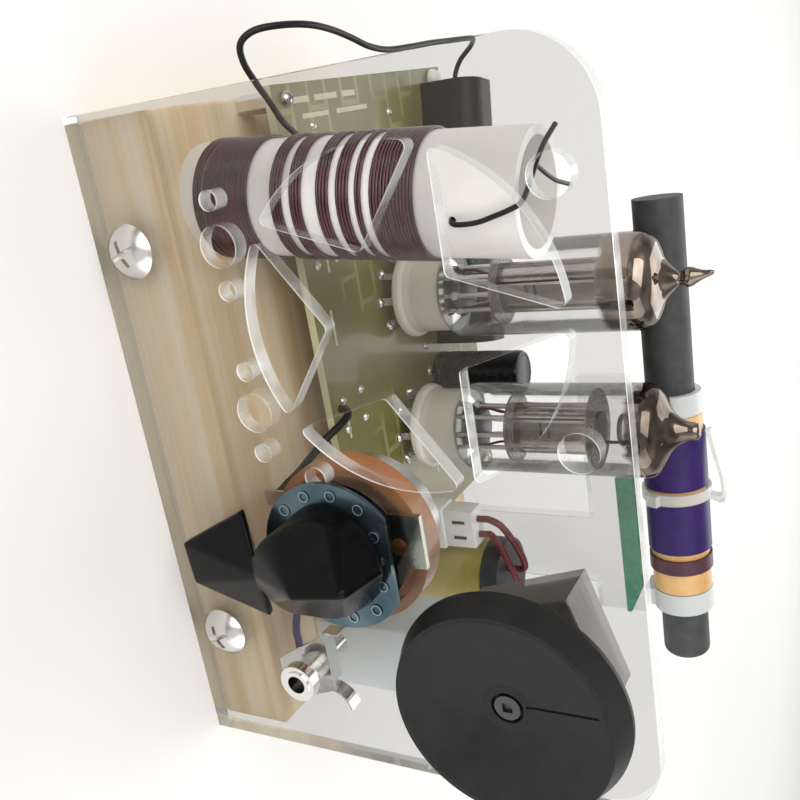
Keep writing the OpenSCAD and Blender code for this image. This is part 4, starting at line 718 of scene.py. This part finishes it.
# Ring marks on the scale plate and the dial's line
scale = {"radius": 11.6, "flat": 9, "markRadius": 0.9, "thick": 0.17, "top": 0.85, "count": 11,
         "sweep": 270}
for i in range(scale["count"]):
    a = math.radians(scale["sweep"] * i / (scale["count"] - 1) - scale["sweep"] / 2)
    reach = min(scale["radius"], scale["flat"] / max(math.cos(a), 0.1))
    spot = (frontMatrix(*knob["place"]) @ Matrix.Rotation(a, 4, "Z")
            @ Matrix.Translation(cadPoint((0, reach, scale["top"]))))
    ringTube("scaleMark%d" % i, scale["markRadius"], scale["thick"], spot, "markLine")
dial = {"place": (35.1, 70.2), "gap": 7.5, "turn": 12, "hub": 4.2, "hubTop": 1.9, "start": 3.2, "long": 11.7,
        "slope": 14.04, "half": 0.24, "sink": 0.3, "floor": 0.34, "edge": 0.01}
dialMatrix = (frontMatrix(*dial["place"]) @ Matrix.Translation(cadPoint((0, 0, dial["gap"])))
              @ Matrix.Rotation(math.radians(dial["turn"]), 4, "Z"))
slopeMatrix = (dialMatrix @ Matrix.Translation(cadPoint((0, dial["hub"], dial["hubTop"])))
               @ Matrix.Rotation(math.radians(dial["slope"]), 4, "X"))
lineParts = [("dialLineHub", dialMatrix, dial["start"], dial["hub"], dial["hubTop"]),
             ("dialLine", slopeMatrix, 0, dial["long"], 0)]
for name, frameMatrix, start, end, top in lineParts:
    low, high = (-dial["half"], start, top - dial["floor"]), (dial["half"], end, top - dial["sink"])
    bevelBox(name, low, high, frameMatrix, "dialLine", dial["edge"], 1, "dial")
print("scale and dial ready")

# Tubes: smooth glass with its tip, anode plates with slots, stem, socket skirt and solder
tube = {
    "foot": 38.9, "height": 43.5, "radius": 9.5,
    "base": [(0, 0), (7.9, 0), (8.9, 0.45), (9.4, 1.1), (9.5, 2)],
    "leftDome": [(9.5, 38.2), (9.42, 39.4), (9.1, 40.6), (8.4, 41.6), (7.2, 42.4), (5.6, 42.9),
                 (4.4, 43.3), (3.5, 43.8), (2.9, 44.3), (2.4, 44.8), (1.9, 45.3), (1.45, 45.8),
                 (1.2, 46.2), (1.35, 46.7), (1.75, 47.3), (1.9, 47.9), (1.75, 48.6), (1.35, 49.3),
                 (0.95, 50.2), (0.72, 51), (0.55, 51.8), (0.35, 52.3), (0, 52.5)],
    "rightDome": [(9.5, 38.2), (9.4, 39.2), (9, 40.2), (8.2, 41.1), (7, 41.8), (5.6, 42.4), (4.4, 43),
                  (3.4, 43.8), (2.7, 44.7), (2.2, 45.6), (1.9, 46.5), (1.8, 47.3), (1.6, 48), (1.1, 48.4),
                  (0.5, 48.5), (0, 48.5)],
    "left": {"place": (-14.5, 57), "turn": 12, "bend": -0.012, "plateHigh": 31.5},
    "right": {"place": (15.2, 55.2), "turn": -8, "bend": 0.0, "plateHigh": 28},
    "plateLow": 11, "plateShift": 1.8, "plateRadius": 3.1, "plateArc": 64, "plateSteps": 8,
    "slots": (17.1, 18.8), "pins": 7, "pinRadius": 4.765, "solderRadius": 7.9, "stayRadius": 0.28,
    "stay": [(4.3, 3), (4.1, 5), (3.4, 7.5), (3.3, 9.8)],
    "stem": [(0, 1.7), (5.4, 1.7), (4.8, 2.2), (4.2, 3.1), (2.2, 3.6), (0, 3.7)],
    "bead": [(0, 1.5), (0.95, 1.6), (0.8, 2.3), (0.6, 2.7), (0, 2.8)],
    "wing": [(4.75, -0.45), (5.4, -0.4), (5.4, 0.4), (4.75, 0.45)],
    "lowDarkDisc": (9.7, 10.5, 5.4), "highDarkDisc": (0.5, 1.2, 3.6),
    "skirt": [(8.15, 7.4), (8.3, 6.6), (8.5, 5.6), (9.1, 5.2), (9.3, 4.7), (9.3, 3.9), (9, 3.55), (8.1, 3.5)],
    "solder": [(0, 0), (1.15, 0), (1, 0.35), (0.6, 0.75), (0.25, 1), (0, 1.05)],
}


def plateArc(s, start):
    r, shift, steps = tube["plateRadius"], tube["plateShift"], tube["plateSteps"]
    angles = [math.radians(start + tube["plateArc"] * k / steps) for k in range(steps + 1)]
    return [(s * shift + r * math.cos(a), r * math.sin(a)) for a in angles]


def plateOutline():
    points = []
    for s, low, high in ((1, -90, 26), (-1, 90, 206)):
        points += plateArc(s, low) + [(s * x, s * y) for x, y in tube["wing"]] + plateArc(s, high)
    return points


for sideName in ("left", "right"):
    t = tube[sideName]
    body = sideName + "_tube"
    foot = Matrix.Translation(at(*t["place"], tube["foot"]))
    profile = tube["base"] + tube[sideName + "Dome"]
    glass = lathe(sideName + "Glass", profile, 96, foot, sideName + "Glass", body, 60)
    top = (tube["foot"] + tube["height"]) * mm
    for v in glass.data.vertices:
        if v.co.z > top:
            v.co.x += t["bend"] * ((v.co.z - top) / mm) ** 2 * mm
    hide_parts(sideName + "_glass")
    turned = foot @ Matrix.Rotation(math.radians(t["turn"]), 4, "Z")
    low, high = tube["plateLow"], t["plateHigh"]
    plates = prism(sideName + "Plates", plateOutline(), low, high, turned, "anode", body)
    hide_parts(sideName + "_plates")
    plateMarks = [("Slot%d" % k, (-2.1, -3.14, z - 0.28), (1.5, -3, z + 0.28), "darkMetal", 0.02, 1)
                  for k, z in enumerate(tube["slots"])]
    # The bright tin strip along the fold is a painted highlight on the anode plate
    plateMarks += [("Seam", (-2.75, -3.13, low), (-2.35, -2.9, high), "darkMetal", 0.02, 1),
                   ("FoldHighlight", (-2.3, -3.2, low), (-1.8, -3, high), "tin", 0.05, 2)]
    for name, start, end, material, width, segments in plateMarks:
        bevelBox(sideName + name, start, end, turned, material, width, segments, body)
    # Dark discs at the heights of the two micas
    for k, (lift, (z0, z1, r)) in enumerate(((0, tube["lowDarkDisc"]), (high, tube["highDarkDisc"]))):
        darkDiscProfile = [(0, lift + z0), (r, lift + z0), (r, lift + z1), (0, lift + z1)]
        lathe(sideName + "DarkDisc%d" % k, darkDiscProfile, 48, foot, "darkMetal", body)
    pinAngles = [math.radians(45 * k + 45) for k in range(tube["pins"])]
    for k, a in enumerate(pinAngles):
        stay = [foot @ polar(r, a, z) for r, z in tube["stay"]]
        tubeAlong(sideName + "Stay%d" % k, stay, tube["stayRadius"] * mm, 8, "tin" if k % 3 else "red", body)
    lathe(sideName + "Stem", tube["stem"], 48, foot, "darkMetal", body)
    for k, a in enumerate(pinAngles):
        spot = foot @ Matrix.Translation(polar(tube["pinRadius"], a, 0))
        lathe(sideName + "Bead%d" % k, tube["bead"], 20, spot, "ceramic", body)
    socketFoot = Matrix.Translation(at(*t["place"], boardTop))
    lathe(sideName + "SocketSkirt", tube["skirt"], 96, socketFoot, "ceramic", "chassis", 40, True)
    for k, a in enumerate(pinAngles):
        spot = socketFoot @ Matrix.Translation(polar(tube["solderRadius"], a, 0))
        lathe(sideName + "Solder%d" % k, tube["solder"], 20, spot, "tin")
print("tubes ready")

# Small parts on the circuit board and behind the panel
filterProfile = [(0, 0), (4.7, 0), (4.95, 0.4), (4.95, 1.6), (4.6, 2), (4.6, 2.5), (4.95, 2.9), (4.95, 20.2),
                 (4.6, 20.8), (4, 21), (3.6, 20.8), (0, 20.8)]
filterMatrix = Matrix.Translation(at(8.2, 71.5, boardTop))
filterPiece = lathe("filterCapacitor", filterProfile, 64, filterMatrix, "sleeveBlack")
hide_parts("filter_capacitor")
transformer = {"place": (44, 18, 15), "size": (15, 14, 28), "edge": 0.7}
transformerPiece = bevelBox("transformerBlock", (0, 0, 0), transformer["size"],
                            Matrix.Translation(at(*transformer["place"])), "potting", transformer["edge"], 4)
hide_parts("output_transformer")
connector = {"place": (30.5, 44.5), "wide": 9.5, "deep": 6, "header": 9, "step": 0.45, "plug": 7,
             "slots": (3.1, 6.7), "slotLow": 11, "slotHigh": 14, "edge": 0.3}
wide, deep, step = connector["wide"], connector["deep"], connector["step"]
connectorMatrix = Matrix.Translation(at(*connector["place"], boardTop))
header = bevelBox("connectorHeader", (0, 0, 0), (wide, deep, connector["header"]), connectorMatrix,
                  "nylon", connector["edge"], 3)
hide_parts("plug_connector")
plugTop = connector["header"] + connector["plug"]
bevelBox("connectorPlug", (step, step, connector["header"] - 0.1), (wide - step, deep - step, plugTop),
         connectorMatrix, "nylon", connector["edge"], 3)
for k, x in enumerate(connector["slots"]):
    bevelBox("connectorSlot%d" % k, (x - 0.4, step - 0.03, connector["slotLow"]),
             (x + 0.4, step + 0.2, connector["slotHigh"]), connectorMatrix, "darkMetal", 0.03, 1)
resistor = {
    "x": 28, "depths": (76, 81, 86), "lift": 1.6, "bands": (-1.9, -0.8, 0.3, 1.8), "wireRadius": 0.3,
    "profile": [(0, -3.25), (0.9, -3.25), (1.2, -2.9), (1.2, -2.1), (1.02, -1.7), (1.02, 1.7), (1.2, 2.1),
                (1.2, 2.9), (0.9, 3.25), (0, 3.25)],
    "wire": [(-4.75, 0), (-4.75, 0.9), (-4.6, 1.45), (-4.1, 1.6), (0, 1.6), (4.1, 1.6), (4.6, 1.45),
             (4.75, 0.9), (4.75, 0)],
}
for k, depth in enumerate(resistor["depths"]):
    middle = at(resistor["x"], depth, boardTop + resistor["lift"])
    lying = Matrix.Translation(middle) @ Matrix.Rotation(math.pi / 2, 4, "Y")
    piece = lathe("resistorBody%d" % k, resistor["profile"], 32, lying, "resistor")
    if k == 0:
        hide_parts("resistors")
    for j, z in enumerate(resistor["bands"]):
        band = [(r, z + dz) for r, dz in ((1, -0.25), (1.07, -0.25), (1.07, 0.25), (1, 0.25))]
        lathe("resistorBand%d%d" % (k, j), band, 32, lying, "band", "chassis", 35, True)
    wire = [at(resistor["x"] + u, depth, boardTop + h) for u, h in resistor["wire"]]
    tubeAlong("resistorWire%d" % k, wire, resistor["wireRadius"] * mm, 10, "tin")
headProfile = [(0, 2.1), (0.9, 2), (1.7, 1.6), (2.1, 0.9), (2.2, 0.3), (2.2, 0), (1.55, 0), (1.55, 1.5),
               (0, 1.5)]
lathe("nylonHead", headProfile, 40, Matrix.Translation(at(-57.4, 88.7, boardTop)), "nylon")
boardMarks = [(-57.5, 30, 1.1, 6), (-57.5, 38, 1.1, 8), (-57.5, 48, 1.1, 5), (-54.4, 33, 0.9, 9),
              (-54.4, 45, 0.9, 12), (-30, 32, 5, 0.7), (-18, 30, 7, 0.7), (2, 29, 6, 0.7), (-26, 44, 0.7, 7),
              (24, 62, 6, 0.7)]
for k, (x, depth, wide, deep) in enumerate(boardMarks):
    spot = Matrix.Translation(at(x, depth, boardTop))
    bevelBox("boardMark%d" % k, (0, 0, 0), (wide, deep, 0.06), spot, "print", 0.02, 1)
jointProfile = [(0, 0), (0.9, 0), (0.7, 0.3), (0.3, 0.55), (0, 0.6)]
joints = [(x, depth) for x in (-52, -45, -33, -27, 0, 6, 22, 27) for depth in (29, 36, 66)]
for k, (x, depth) in enumerate(joints):
    lathe("joint%d" % k, jointProfile, 16, Matrix.Translation(at(x, depth, boardTop)), "tin")
print("small parts ready")

# Floor, light and world
floorSize, floorLow = 6, -0.0001
floorCorners = [(x * floorSize, y * floorSize, floorLow) for x, y in ((-1, -1), (1, -1), (1, 1), (-1, 1))]
floorMesh = bpy.data.meshes.new("floor")
floorMesh.from_pydata(floorCorners, [], [(0, 1, 2, 3)])
floorMesh.materials.append(mottled("paleFloor", (0.86, 0.86, 0.85), (0.90, 0.90, 0.89), 3, (0.7, 0.8), 0.01))
floor = bpy.data.objects.new("floor", floorMesh)
bpy.context.scene.collection.objects.link(floor)

lights = {
    "key": {"place": (-0.45, -0.5, 0.7), "size": 0.9, "power": 6.5, "color": (1, 0.98, 0.95)},
    "fill": {"place": (0.8, -0.5, 0.4), "size": 0.9, "power": 3, "color": (0.97, 0.98, 1)},
    "rear": {"place": (0.2, 0.9, 0.8), "size": 0.9, "power": 5, "color": (1, 1, 1)},
}
target = Vector((0, 0, 0.045))
for name, l in lights.items():
    data = bpy.data.lights.new(name, "AREA")
    data.energy, data.size, data.color = l["power"], l["size"], l["color"]
    lamp = bpy.data.objects.new(name, data)
    lamp.location = l["place"]
    lamp.rotation_euler = (target - lamp.location).to_track_quat("-Z", "Y").to_euler()
    bpy.context.scene.collection.objects.link(lamp)
world = bpy.data.worlds.new("studio")
bpy.context.scene.world = world
world.use_nodes = True
tree = world.node_tree
around = node(tree, "ShaderNodeTexCoord").outputs["Generated"]
room = noise(tree, around, 1.4, 1, 0.4)
background = tree.nodes["Background"]
shades = ramp(tree, room, [(0.38, (0.38, 0.37, 0.36)), (0.56, (1.0, 0.99, 0.97))])
feed(tree, shades, background.inputs["Color"])
background.inputs["Strength"].default_value = 0.9
bpy.context.scene.view_settings.view_transform = "Standard"
print("stage ready")
